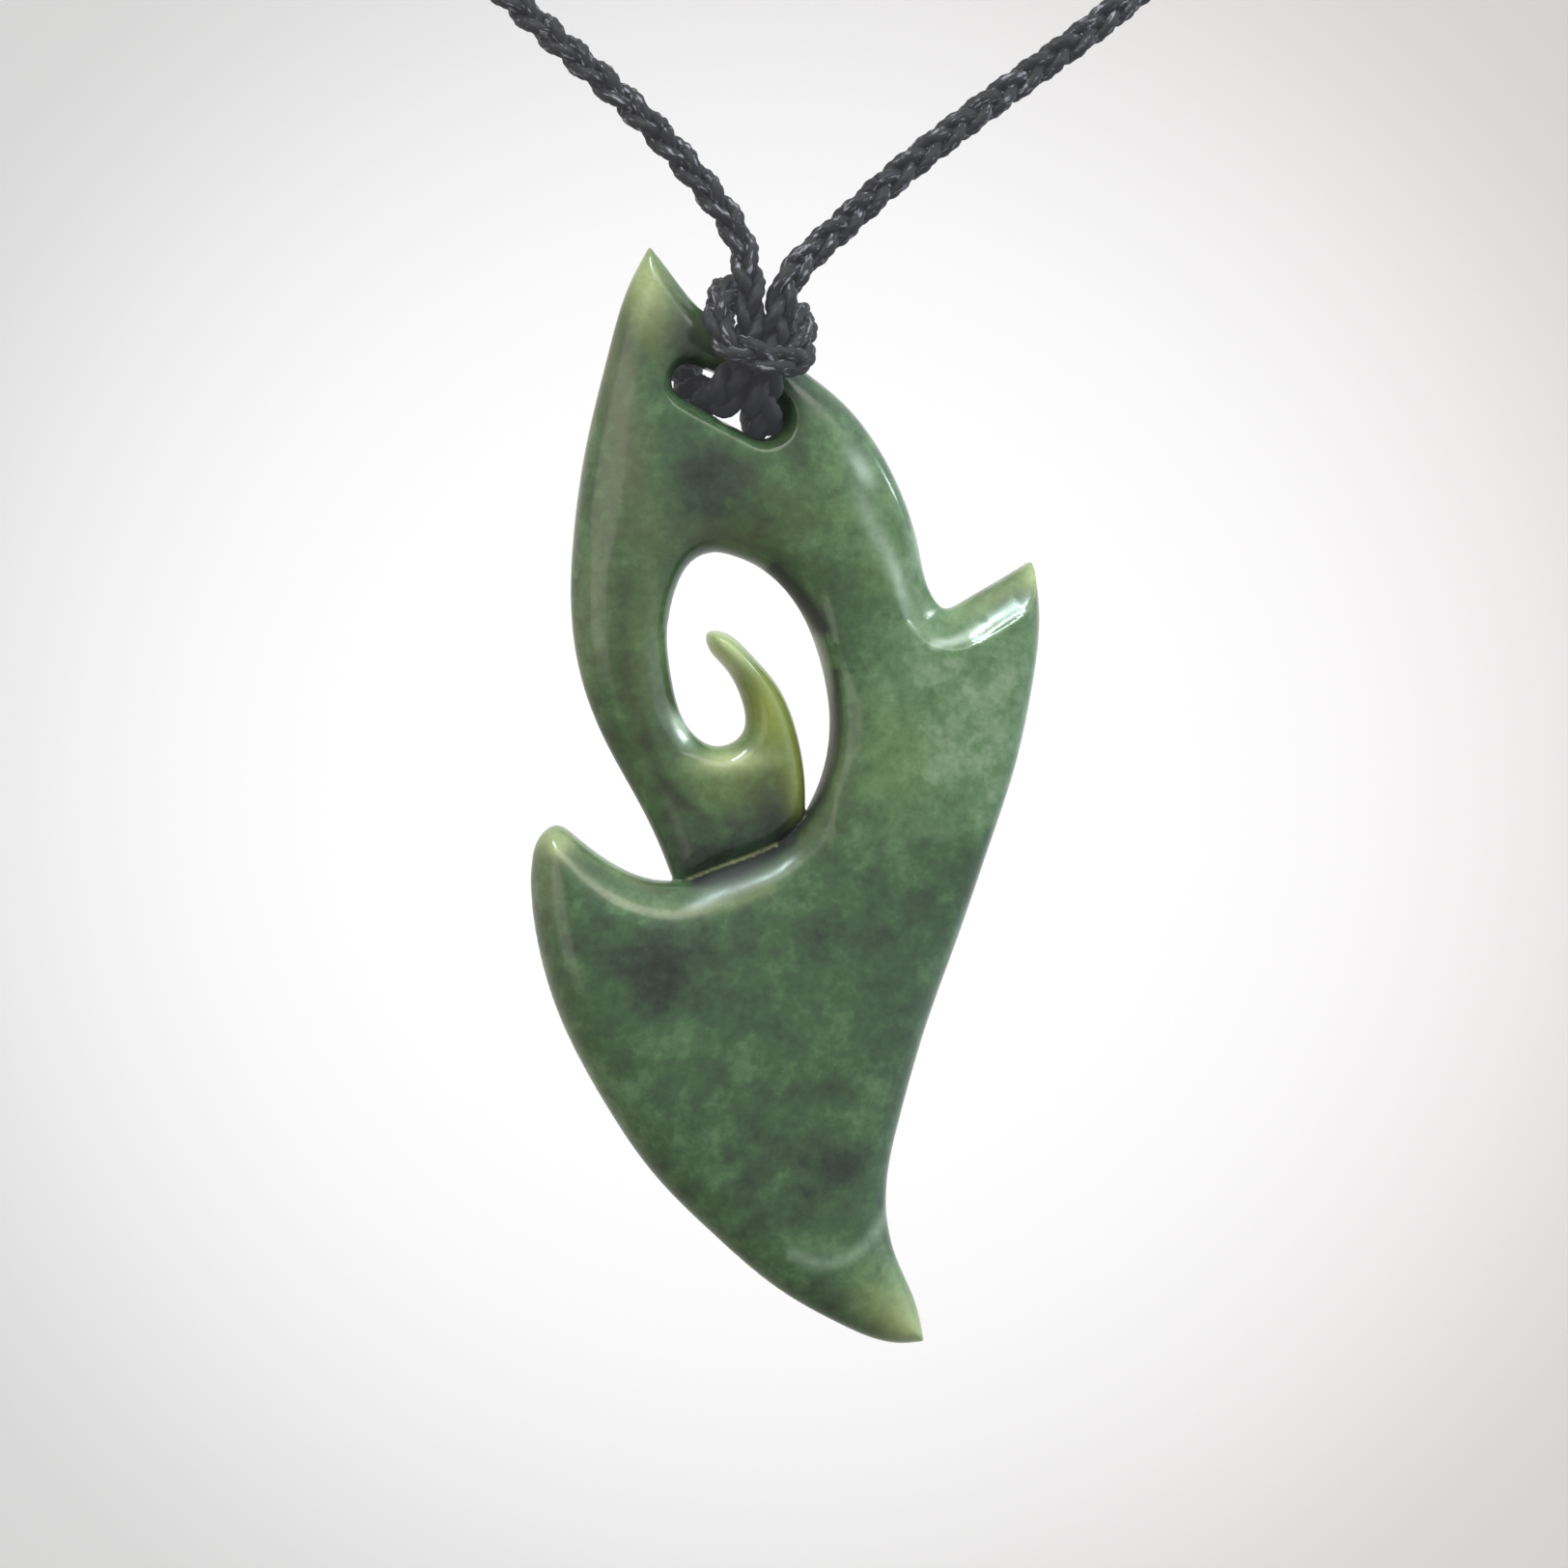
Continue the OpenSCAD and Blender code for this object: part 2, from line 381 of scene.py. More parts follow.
@dataclass(frozen=True)
class WaxedTwine:
    """Black twine of three twisted nylon plies, waxed before plaiting.

    The wax fills the fibres, so it is a dense black. Short grey-lilac flecks on it are painted highlights on
    the bundles of fibres, partly where the wax has come off. Inside the hitch, where the cord lies in shade,
    the flecks are left out as painted shade. A faint dark grey glow painted over the twine keeps its shadows
    dark grey.
    """

    name: str = "black_waxed_twine"
    # Ramp from the black wax to the grey-lilac flecks, painted highlights that partly stand for bare fibres
    wear_and_highlight: tuple[tuple[float, str], ...] = ((0.57, "151619"), (0.69, "9696A2"))
    # Painted glow: the twine gives off this dark grey all over, which lifts its shadows
    shade: str = "2D2D30"
    # How far the painted shade in the hitch fades out the highlight flecks
    shade_hides: float = 0.2
    refraction: float = 1.5
    # Length once round a strand, and the period of each noise round it and along it
    round_mm: float = 2.95
    fleck_mm: Pair = (0.28, 0.62)
    fibre_mm: Pair = (0.09, 0.9)
    fibre_deep_mm: float = 0.04

    def material(self) -> Material:
        """Builds the twine on the UV map, whose V is the length in millimetres and U goes once round.

        Returns:
            The material.
        """
        material, tree = new_material(self.name)
        # Painted shade: inside the hitch the flecks fade out
        worn = add_node(tree, "Attribute", {"attribute_name": "worn"}).outputs["Fac"]
        hidden = add_node(tree, "Math", {"operation": "SUBTRACT"}, i0=worn, i1=1.0)
        # Painted highlights: the flecks, partly bare fibres where the wax has come off
        flecks = self.noise(tree, self.fleck_mm, 3.0)
        fleck_mask = add_node(tree, "Math", {"operation": "MULTIPLY_ADD"}, i0=hidden, i1=self.shade_hides, i2=flecks)
        fibres = self.noise(tree, self.fibre_mm, 2.0)
        shader = add_node(
            tree,
            "BsdfPrincipled",
            Base_Color=add_node(tree, "ValToRGB", {"stops": self.wear_and_highlight}, Fac=fleck_mask),
            Normal=add_node(tree, "Bump", Height=fibres, Strength=0.6, Distance=self.fibre_deep_mm * MM),
            Roughness=0.55,
            IOR=self.refraction,
            Specular_IOR_Level=0.4,
            # The painted glow
            Emission_Color=linear(self.shade),
            Emission_Strength=1.0,
        )
        add_node(tree, "OutputMaterial", Surface=shader)
        return material

    def noise(self, tree: Tree, size: Pair, detail: float) -> Node:
        """Adds a noise on a cylinder made from U and V, so nothing shows where U starts again.

        Args:
            tree: The material's node tree.
            size: Period round the strand and along it, in millimetres.
            detail: Finer layers of the noise.

        Returns:
            The noise.
        """
        radius = self.round_mm / (2 * math.pi) / size[0]
        parts = add_node(tree, "SeparateXYZ", Vector=add_node(tree, "UVMap", {"uv_map": "twine"}))
        turn = add_node(tree, "Math", {"operation": "MULTIPLY"}, i0=parts, i1=2 * math.pi)
        sides = []
        for operation in ("COSINE", "SINE"):
            wave = add_node(tree, "Math", {"operation": operation}, i0=turn)
            sides.append(add_node(tree, "Math", {"operation": "MULTIPLY"}, i0=wave, i1=radius))
        along = add_node(tree, "Math", {"operation": "DIVIDE"}, i0=parts.outputs[1], i1=size[1])
        place = add_node(tree, "CombineXYZ", X=sides[0], Y=sides[1], Z=along)
        return add_node(tree, "TexNoise", Vector=place, Scale=1.0, Detail=detail, Roughness=0.6)


@dataclass(frozen=True)
class StudioPaper:
    """Matt white background paper, thin enough that lamps behind it glow through a little.

    It spreads the light evenly and shows no texture at this distance.
    """

    name: str = "studio_paper"
    white: str = "E6E5E8"
    glow: float = 0.258

    def material(self) -> Material:
        """Builds the paper.

        Returns:
            The material.
        """
        material, tree = new_material(self.name)
        shader = add_node(
            tree,
            "BsdfPrincipled",
            Base_Color=linear(self.white),
            Roughness=0.95,
            Specular_IOR_Level=0.1,
            Emission_Color=linear("FFFFFF"),
            Emission_Strength=self.glow,
        )
        add_node(tree, "OutputMaterial", Surface=shader)
        return material


# Carving


@dataclass(frozen=True)
class Outline:
    """Closed loops of short straight pieces, with the stone on the left of each."""

    points: Array
    after: Array
    before: Array
    exact_mm: Pair = (0.3, 0.9)
    batch: int = 6000

    @classmethod
    def of_loops(cls, *loops: Array) -> "Outline":
        """Joins loops into one outline.

        Args:
            loops: Points of each loop, in order, the first one not repeated at the end.

        Returns:
            The outline.
        """
        starts = np.cumsum([0] + [len(loop) for loop in loops])
        runs = [start + np.arange(len(loop)) for start, loop in zip(starts, loops)]
        after, before = (np.concatenate([np.roll(run, way) for run in runs]) for way in (-1, 1))
        return cls(np.concatenate(loops), after, before)

    def depth(self, places: Array) -> Array:
        """Measures how far inside the outline each place is, smoothly.

        Near the outline it is the exact distance, which is negative outside. Further in it is the cube root
        of one over the sum along the outline of two over pi times length over distance to the fourth power,
        which equals the distance from a straight edge and stays smooth halfway between two edges.

        Args:
            places: One place a row.

        Returns:
            A depth for each place.
        """
        p = self.points
        length = np.linalg.norm(p[self.after] - p, axis=1).astype(np.float32)
        exact = np.empty(len(places))
        smooth = np.empty(len(places))
        for start in range(0, len(places), self.batch):
            some = slice(start, start + self.batch)
            q = places[some]
            square = (q**2).sum(1)[:, None] + (p**2).sum(1)[None, :] - 2 * q @ p.T
            square = np.maximum(square, 1e-4).astype(np.float32)
            exact[some] = self.signed(q, square.argmin(1))
            smooth[some] = (2 / math.pi * (length / square / square).sum(1)) ** (-1 / 3)
        share = fade(exact, *self.exact_mm)
        return exact * (1 - share) + smooth * share

    def signed(self, places: Array, near: Array) -> Array:
        """Measures the exact distance to the two straight pieces that meet at the nearest point.

        Args:
            places: One place a row.
            near: Number of the point nearest to each.

        Returns:
            Distances, negative outside.
        """
        best = np.full(len(places), np.inf)
        side = np.zeros(len(places))
        for a, b in ((self.before[near], near), (near, self.after[near])):
            p, along = self.points[a], self.points[b] - self.points[a]
            share = ((places - p) * along).sum(1) / np.maximum((along**2).sum(1), 1e-12)
            away = places - p - np.clip(share, 0, 1)[:, None] * along
            gap = np.linalg.norm(away, axis=1)
            back, on = p - self.points[self.before[a]], self.points[self.after[b]] - self.points[b]
            corner = np.where((share <= 0)[:, None], unit(along) + unit(back), unit(along))
            corner = np.where((share >= 1)[:, None], unit(along) + unit(on), corner)
            turn = corner[:, 0] * away[:, 1] - corner[:, 1] * away[:, 0]
            side = np.where(gap < best, np.sign(turn), side)
            best = np.minimum(gap, best)
        return best * np.where(side == 0, 1, side)


@dataclass(frozen=True)
class Cut:
    """Bevel along part of the outline, which takes stone off the rounded form.

    Each row of stations has the share of the way along the edge, the height of the foot at the edge, the
    slope there, the slope at the ridge and how far in the ridge is. The slope changes evenly from the foot
    to the ridge, so a bevel that starts steeper than it ends bulges. Past the ridge it rises faster and
    faster, out of the stone.
    """

    face: Face
    blend: float
    edge: Points
    stations: Points
    lift: float = 1.5
    step_mm: float = 0.25

    def height(self, places: Array) -> Array:
        """Works out the height above the middle plane that the cut leaves.

        Args:
            places: One place a row.

        Returns:
            A height for each place.
        """
        line = spline(self.edge, self.step_mm)
        square = (places**2).sum(1)[:, None] + (line**2).sum(1)[None, :] - 2 * places @ line.T
        near = np.clip(square.argmin(1), 1, len(line) - 2)
        gap = np.full(len(places), np.inf)
        share = np.zeros(len(places))
        for start in (near - 1, near):
            along = line[start + 1] - line[start]
            part = np.clip(((places - line[start]) * along).sum(1) / (along**2).sum(1), 0, 1)
            away = np.linalg.norm(places - line[start] - part[:, None] * along, axis=1)
            share = np.where(away < gap, (start + part) / (len(line) - 1), share)
            gap = np.minimum(gap, away)
        rows = np.asarray(self.stations)
        foot, first, last, width = (np.interp(share, rows[:, 0], rows[:, k]) for k in range(1, 5))
        over = np.maximum(gap - width, 0)
        run = gap - over
        return foot + first * run - (first - last) * run**2 / (2 * width) + last * over + self.lift * over**2


@dataclass
class Carving:
    """The carved stone, from its outline, its thickness and the cuts along its edges.

    Its surface is where the square of the distance from the middle plane equals the square of the half
    thickness there. The curl and the leaf are two forms of their own thickness, and the higher one shows,
    which leaves the seam where the curl goes behind the leaf's rim.
    """

    half_mm: float = 3.0
    curl_drop_mm: float = 0.85
    limb_drop_mm: float = 1.2
    crown_drop_mm: float = 0.95
    foot_drop_mm: float = 1.0
    edge_mm: float = 1.25
    lip_mm: float = 0.3
    dome_share: float = 0.14
    dome_mm: float = 6.0
    span_x: Pair = (-15.6, 18.6)
    span_z: Pair = (-62.4, 8.2)
    grid_mm: float = 0.15
    cell_mm: float = 0.203
    layers: int = 34
    # Rounds that smooth the net and the share of each move, rounds that don't, and the longest step back
    relax_turns: int = 6
    relax_share: float = 0.6
    settle_turns: int = 2
    settle_mm: float = 0.2
    seam_blend_mm: float = 0.12
    # Middle and radius of each end of the cord hole
    hole_ends: Points = ((-4.65, -1.5, 1.15), (-0.2, -3.58, 1.4))

    # Tone of the whole stone, from 0 for the darkest green to 1 for the palest
    tone: float = 0.47
    # Patches by what they add to: middle, half width and half height, turn and strength of each
    spots: tuple[tuple[str, Points], ...] = (
        (
            "tone",
            (
                (-7.6, -38.3, 2.2, 2.6, 20.0, -0.34), (-4.6, -37.2, 3.2, 1.6, 5.0, -0.16),
                (4.2, -35.6, 2.8, 1.3, 0.0, -0.2), (12.6, -30.4, 2.0, 2.4, 0.0, -0.12),
                (4.0, -50.2, 2.4, 1.4, 0.0, -0.24), (-3.8, -7.8, 2.8, 2.0, -10.0, -0.4),
                (0.8, -28.4, 2.0, 2.2, 30.0, -0.45), (-3.6, -30.4, 3.2, 1.4, 12.0, -0.25),
                (-4.7, 0.9, 1.9, 1.8, 0.0, -0.3), (-6.7, -17.5, 0.7, 4.5, 3.0, 0.07),
                (6.8, -9.0, 2.4, 5.5, 22.0, 0.16), (8.9, -13.2, 1.2, 3.8, 14.0, 0.12),
                (12.6, -22.0, 4.8, 8.0, 10.0, 0.37), (16.4, -18.5, 1.6, 5.0, 0.0, 0.14),
                (8.2, -26.0, 2.6, 3.8, 0.0, 0.12), (-11.8, -43.5, 1.2, 5.0, 35.0, 0.08),
                (4.0, -55.4, 3.6, 1.0, -8.0, 0.16), (6.6, -57.6, 3.0, 2.2, -35.0, 0.12),
                (-10.2, -5.0, 1.4, 9.0, 8.0, -0.02), (-11.0, -16.0, 1.0, 6.0, -4.0, 0.15),
                (-1.5, -43.0, 6.0, 5.0, 0.0, -0.06), (-5.8, -27.4, 2.6, 2.4, -40.0, -0.04),
            ),
        ),
        # Brownish grey: painted sheen on the crown's left facet and the limb's left side; two more patches
        # by the tip and ring
        (
            "brown",
            (
                (-9.2, -2.5, 1.3, 8.0, 8.0, 0.55), (-10.8, -14.5, 1.1, 6.5, -6.0, 0.4),
                (-3.4, -11.0, 3.2, 0.9, -4.0, 0.45), (-3.2, 1.2, 0.8, 2.6, 38.0, 0.4),
            ),
        ),
        (
            "olive",
            (
                (8.0, -25.0, 2.4, 3.4, 0.0, 0.12), (0.5, -21.4, 1.9, 4.4, 25.0, 1.0),
                (2.0, -26.6, 0.8, 2.2, 0.0, 0.6), (-7.6, -17.0, 1.8, 8.0, 0.0, 0.16),
                (2.5, -9.5, 4.0, 3.0, -30.0, 0.12), (-2.4, -26.0, 2.6, 2.0, 0.0, 0.28),
                (-7.6, 2.4, 0.8, 2.6, 15.0, 0.25), (-9.3, -31.6, 3.2, 0.7, -25.0, 0.2),
                (6.6, -13.5, 1.2, 1.6, 0.0, 0.12), (8.6, -59.4, 2.6, 1.7, -35.0, 0.3),
            ),
        ),
        # Whitish painted light: shoulder reflections, a glint low in the ring, a sheen on the barb, light on
        # the hook
        (
            "cloud",
            (
                (5.8, -6.9, 0.5, 1.3, 30.0, 0.75), (6.4, -10.4, 0.55, 2.4, 22.0, 0.4),
                (8.0, -13.6, 0.4, 1.9, 18.0, 0.75), (9.3, -11.6, 0.35, 1.5, 10.0, 0.45),
                (-10.2, -30.6, 0.5, 2.4, 52.0, 0.3), (-5.3, -22.9, 0.4, 0.95, 28.0, 1.5),
                (-2.9, -17.6, 1.0, 1.5, 45.0, 0.7),
            ),
        ),
        # Painted yellow-green glow on thin tips and the hook, and painted highlights such as the crescent
        # under the ring
        (
            "pale",
            (
                (-7.3, 4.6, 1.3, 2.6, 12.0, 0.75), (16.9, -13.4, 0.8, 1.1, 0.0, 0.75),
                (14.2, -14.8, 2.6, 0.6, 28.0, 0.3), (17.1, -16.5, 0.5, 2.4, 0.0, 0.3),
                (-12.9, -29.8, 1.2, 0.9, 0.0, 0.65), (-13.6, -32.5, 0.8, 2.6, 5.0, 0.15),
                (9.4, -60.2, 1.5, 1.3, -30.0, 0.6), (8.0, -58.6, 2.4, 1.8, -30.0, 0.3),
                (-2.6, -18.0, 1.2, 1.8, 45.0, 1.2), (-2.2, -24.9, 2.2, 0.7, 5.0, 0.75),
                (0.2, -20.5, 1.2, 3.0, 25.0, 0.15),
            ),
        ),
        # Painted shade between the seam and the barb's light band
        (
            "raw",
            (
                (-0.9, -32.1, 3.4, 0.55, 27.0, 0.38),
            ),
        ),
    )

    # Streaks: what they add to, half width, strength and the way they run
    streaks: tuple[tuple[str, float, float, Points], ...] = (
        # Painted highlight: the broad light band along the barb's bevel
        (
            "pale",
            0.42,
            0.22,
            (
                (-13.2, -30.5), (-12.2, -31.35), (-10.5, -32.8), (-8.5, -33.8), (-6.1, -34.25),
                (-3.7, -34.05), (-1.7, -33.5), (0.1, -32.7),
            ),
        ),
        # Painted shade in the ring's right wall, the seam's groove and the ring's upper right
        ("raw", 0.3, 0.95, ((4.25, -19.4), (4.4, -22.9), (4.0, -25.2), (3.1, -27.7), (1.4, -29.75))),
        ("raw", 0.5, 1.2, ((1.4, -29.75), (-1.2, -31.35), (-4.2, -32.4))),
        ("raw", 0.42, 1.4, ((0.45, -13.0), (1.75, -14.3), (3.45, -16.7))),
        ("tone", 0.35, -0.12, ((-7.6, -23.6), (-6.4, -26.2), (-4.1, -28.2), (-1.8, -28.8))),
        ("tone", 0.5, -0.12, ((-8.9, -13.5), (-8.9, -18.6), (-7.9, -22.9), (-6.1, -26.5), (-3.8, -28.9))),
        # Painted highlight: the thin light line along the seam
        ("pale", 0.09, 0.8, ((-4.8, -32.2), (-3.4, -31.65), (-1.2, -30.85), (0.7, -30.05))),
        # Painted highlight: the left end of the streak on the spike's bevel
        ("cloud", 0.3, 0.9, ((10.3, -17.75), (11.7, -17.45), (13.2, -16.75))),
        # A whitish vein near the bottom tip, in the stone itself
        ("cloud", 0.4, 0.3, ((1.6, -55.4), (3.4, -56.0), (5.3, -55.5), (6.9, -54.0), (7.9, -52.4))),
    )

    # Outline, in order and with the stone on the left
    left_side: Points = (
        (-7.1, 6.9), (-8.4, 4.4), (-9.6, 0.5), (-11.0, -5.3), (-11.8, -10.9), (-12.0, -14.5),
        (-11.4, -19.6), (-9.9, -23.6), (-7.6, -27.8), (-6.4, -30.3), (-5.6, -32.35),
    )
    barb_edge: Points = (
        (-5.6, -32.35), (-6.9, -32.25), (-9.5, -31.2), (-11.8, -29.5), (-12.9, -28.9), (-13.9, -29.6),
        (-14.4, -31.2),
    )
    leaf_left: Points = (
        (-14.4, -31.2), (-14.2, -35.2), (-12.9, -40.1), (-9.9, -46.0), (-6.6, -50.7), (-3.2, -54.1),
        (0.8, -57.5), (4.9, -59.9), (8.6, -61.1), (10.1, -61.0),
    )
    leaf_right: Points = (
        (10.1, -61.0), (9.6, -58.7), (8.3, -55.6), (7.7, -52.2), (8.6, -46.9), (10.2, -41.4), (12.3, -35.6),
        (14.0, -30.6), (15.7, -25.5), (16.9, -20.0), (17.3, -15.4), (16.9, -12.4),
    )
    spike_edge: Points = (
        (16.9, -12.4), (15.1, -13.5), (12.7, -14.9), (11.3, -15.4), (10.4, -14.4), (9.7, -11.8),
        (8.6, -8.3), (7.2, -5.5), (5.2, -2.9), (2.9, -1.0), (0.0, 0.9), (-4.0, 3.1), (-5.7, 5.1),
        (-7.1, 6.9),
    )
    ring_right: Points = (
        (2.6, -28.3), (3.5, -26.5), (4.25, -22.9), (3.75, -19.0), (1.9, -14.9), (-0.1, -13.0),
        (-1.9, -12.2), (-3.0, -12.0), (-4.4, -12.5), (-5.4, -14.0), (-6.0, -16.5),
    )
    ring_left: Points = (
        (-6.0, -16.5), (-5.7, -20.1), (-4.6, -23.0), (-2.9, -24.0), (-1.3, -23.2), (-1.3, -21.2),
        (-2.5, -19.0), (-3.5, -17.6), (-3.45, -16.95), (-2.9, -16.85), (-1.1, -18.0), (0.9, -20.3),
        (2.1, -23.2), (2.6, -26.4), (2.6, -28.3),
    )
    seam: Points = (
        (-5.6, -32.35), (-4.6, -32.2), (-3.4, -31.7), (-1.2, -30.9), (0.9, -30.0), (2.6, -28.3),
    )

    def cuts(self) -> tuple[Cut, ...]:
        """Lists the bevels that a maker would grind in after the form is round.

        Returns:
            Cuts along the barb and the ring, where the curl tucks in, beside the tip, along the left limb's
            facet, along the spike and inside the ring.
        """
        barb = Cut(
            Face.LEAF,
            0.3,
            edge=(
                (-14.6, -28.2), (-12.9, -28.9), (-11.8, -29.5), (-9.5, -31.2), (-6.9, -32.25),
                (-5.2, -32.3), (-3.4, -31.7), (-1.2, -30.9), (0.9, -30.0), (2.6, -28.3), (3.5, -26.5),
                (4.0, -24.5),
            ),
            stations=(
                (0.0, 0.7, 0.98, 0.46, 2.3), (0.12, 0.8, 0.98, 0.44, 2.4), (0.25, 0.95, 0.9, 0.42, 2.6),
                (0.42, 1.0, 0.9, 0.42, 2.7), (0.55, 0.9, 1.15, 0.36, 2.7), (0.7, 0.9, 1.3, 0.3, 2.4),
                (0.82, 1.0, 1.5, 0.45, 1.7), (0.92, 1.4, 2.0, 0.8, 1.2), (1.0, 2.8, 3.0, 1.5, 0.8),
            ),
        )
        tuck = Cut(
            Face.CURL,
            0.4,
            edge=self.seam,
            stations=(
                (0.0, 0.6, 1.3, 0.3, 2.0), (0.5, 0.8, 1.2, 0.2, 2.2), (1.0, 0.7, 1.3, 0.3, 1.8),
            ),
        )
        tip = Cut(
            Face.BOTH,
            0.15,
            edge=(
                (-7.1, 6.9), (-5.7, 5.1), (-4.0, 3.1), (-1.5, 1.8), (0.5, 0.6),
            ),
            stations=(
                (0.0, 0.25, 1.1, 0.9, 0.6), (0.45, 0.6, 1.1, 0.9, 0.9), (1.0, 1.2, 2.0, 1.5, 1.0),
            ),
        )
        facet = Cut(
            Face.BOTH,
            0.5,
            edge=self.left_side[:6],
            stations=(
                (0.0, 0.4, 1.1, 0.7, 1.2), (0.2, 0.8, 0.75, 0.4, 1.7), (0.5, 1.2, 0.6, 0.32, 3.0),
                (0.8, 1.35, 0.55, 0.28, 4.2), (1.0, 1.7, 0.8, 0.3, 4.5),
            ),
            lift=0.15,
        )
        spike = Cut(
            Face.BOTH,
            0.3,
            edge=(
                (18.5, -11.4), (16.9, -12.4), (15.1, -13.5), (12.7, -14.9), (11.3, -15.4), (10.4, -14.4),
                (9.9, -12.5), (9.2, -9.9),
            ),
            stations=(
                (0.0, 0.6, 0.9, 0.58, 2.1), (0.14, 0.7, 0.9, 0.58, 2.1), (0.3, 0.9, 0.9, 0.54, 2.2),
                (0.45, 0.8, 1.05, 0.5, 2.25), (0.56, 0.85, 1.08, 0.48, 2.3), (0.64, 1.3, 0.75, 0.42, 2.2),
                (0.72, 1.8, 0.5, 0.35, 1.9), (0.8, 2.2, 0.45, 0.3, 1.2), (1.0, 2.7, 0.45, 0.3, 0.6),
            ),
        )
        chamfer = Cut(
            Face.CURL,
            0.2,
            edge=(
                (-6.0, -17.5), (-5.9, -18.9), (-5.65, -20.3), (-5.25, -21.8), (-4.6, -23.0),
                (-3.85, -23.75), (-2.9, -24.0),
            ),
            stations=(
                (0.0, 1.3, 1.2, 0.9, 0.6), (0.45, 0.62, 0.88, 0.62, 1.25), (0.8, 0.62, 0.88, 0.62, 1.25),
                (1.0, 1.3, 1.2, 0.9, 0.6),
            ),
        )
        return (barb, tuck, tip, facet, spike, chamfer)

    def hole_loop(self) -> Array:
        """Draws the cord hole, walked clockwise so that the stone is on its left.

        It is two circles and the straight lines that touch both. A point belongs to the right circle where
        the cosine of its direction, from the line between the middles, is over the radii's difference a
        millimetre.

        Returns:
            Points of the closed loop at equal steps.
        """
        ends = np.asarray(self.hole_ends)
        along = ends[1, :2] - ends[0, :2]
        angle = np.linspace(0, 2 * np.pi, 160, endpoint=False)
        right = (np.cos(angle) > (ends[0, 2] - ends[1, 2]) / np.linalg.norm(along)).astype(int)
        facing = math.atan2(along[1], along[0]) - angle
        loop = ends[right, :2] + ends[right, 2:] * np.stack([np.cos(facing), np.sin(facing)], axis=1)
        closed = np.concatenate([loop, loop[:1]])
        whole = lengths(closed)[-1]
        return at_lengths(closed, np.linspace(0, whole, round(whole / self.grid_mm), endpoint=False))

    def heights(self) -> tuple[Array, Array, Array]:
        """Works out the half thickness over a grid of the middle plane.

        It is the full half thickness times the root of a share, lowered by the cuts. The share is one less
        e to the minus depth over the edge's roundness, with a part of it that grows over the dome's longer
        distance. The depth is the outline's, so every edge is round and every thin tip is thin. The cord
        hole has a share of its own, with a narrow lip, so the face stays flat close to it.

        Returns:
            The grid's sideways places, its heights and the squared half thickness, negative off the stone.
        """
        across, up = (np.arange(*span, self.grid_mm) for span in (self.span_x, self.span_z))
        x, z = (side.ravel() for side in np.meshgrid(across, up, indexing="ij"))
        places = np.stack([x, z], axis=1)
        full = self.half_mm - self.crown_drop_mm * fade(z, -10, 3.5) - self.foot_drop_mm * fade(z, -38, -61)
        curl_full = full - self.curl_drop_mm * fade(z, -12, -29) * fade(x, 5, 2)
        leaf_full = full - self.limb_drop_mm * fade(z, -9, -15) * fade(x, 0, -4) * fade(z, -24, -20)
        hole = Outline.of_loops(self.hole_loop()).depth(places)
        lip = 1 - np.exp(-np.maximum(hole, 0) / self.lip_mm)
        # The left limb's edges are rounder. The ring's right wall, the right side and the hook are crisp
        limb = fade(z, -9, -16) * fade(x, -3, -7) * fade(z, -34, -26)
        wall = np.exp(-(((x - 3.6) / 1.7) ** 2)) * fade(z, -14, -18) * fade(z, -33, -28)
        crisp = fade(x, 5, 9) * fade(z, -40, -30)
        hook = spot(x, z, (-1.8, -18.8), (2.2, 2.0))
        edge = self.edge_mm * (1 + 0.6 * limb) * (1 - 0.55 * wall) * (1 - 0.6 * crisp) * (1 - 0.4 * hook)
        forms = []
        for face, outline, top in (
            (Face.CURL, self.whole_outline(), curl_full),
            (Face.LEAF, self.leaf_outline(), leaf_full),
        ):
            depth = outline.depth(places)
            inner = np.maximum(depth, 0)
            rounded = (1 - self.dome_share) * (1 - np.exp(-inner / edge))
            domed = self.dome_share * (1 - np.exp(-inner / self.dome_mm))
            outside = np.minimum(depth * ((1 - self.dome_share) / edge + self.dome_share / self.dome_mm), 0)
            share = np.where((depth > 0) & (hole > 0), (rounded + domed) * lip, outside)
            share = np.where(hole < 0, hole / self.lip_mm, share)
            height = top * np.sign(share) * np.sqrt(np.abs(share))
            for cut in self.cuts():
                if cut.face in (face, Face.BOTH):
                    blend = cut.blend * np.minimum(1, np.maximum(height, 0) + 0.05)
                    height = np.where(height > 0, soft_min(height, cut.height(places), blend), height)
            forms.append(height)
        height = -soft_min(-forms[0], -forms[1], self.seam_blend_mm)
        return across, up, (np.sign(height) * height**2).reshape(len(across), len(up))

    def chained(self, *parts: Points) -> Array:
        """Joins smooth curves through each part's points, which start where the last part ended."""
        return np.concatenate([spline(part, self.grid_mm)[:-1] for part in parts])

    def whole_outline(self) -> Outline:
        """Draws the outline of the stone as seen from the front, with its ring.

        Returns:
            The outline.
        """
        left_part = self.barb_edge + self.leaf_left[1:]
        outer = self.chained(self.left_side, left_part, self.leaf_right, self.spike_edge)
        ring = spline(self.ring_right + self.ring_left[1:], self.grid_mm)[:0:-1]
        return Outline.of_loops(outer, ring)

    def leaf_outline(self) -> Outline:
        """Draws the outline of the leaf's form alone, which ends at the seam and across the left limb.

        Returns:
            The outline.
        """
        crossing = (self.left_side[5], self.ring_right[-1])
        leaf_edge = self.seam[::-1] + self.barb_edge[1:] + self.leaf_left[1:]
        ring_edge = self.ring_right[::-1]
        parts = (self.left_side[:6], crossing, ring_edge, leaf_edge, self.leaf_right, self.spike_edge)
        return Outline.of_loops(self.chained(*parts))

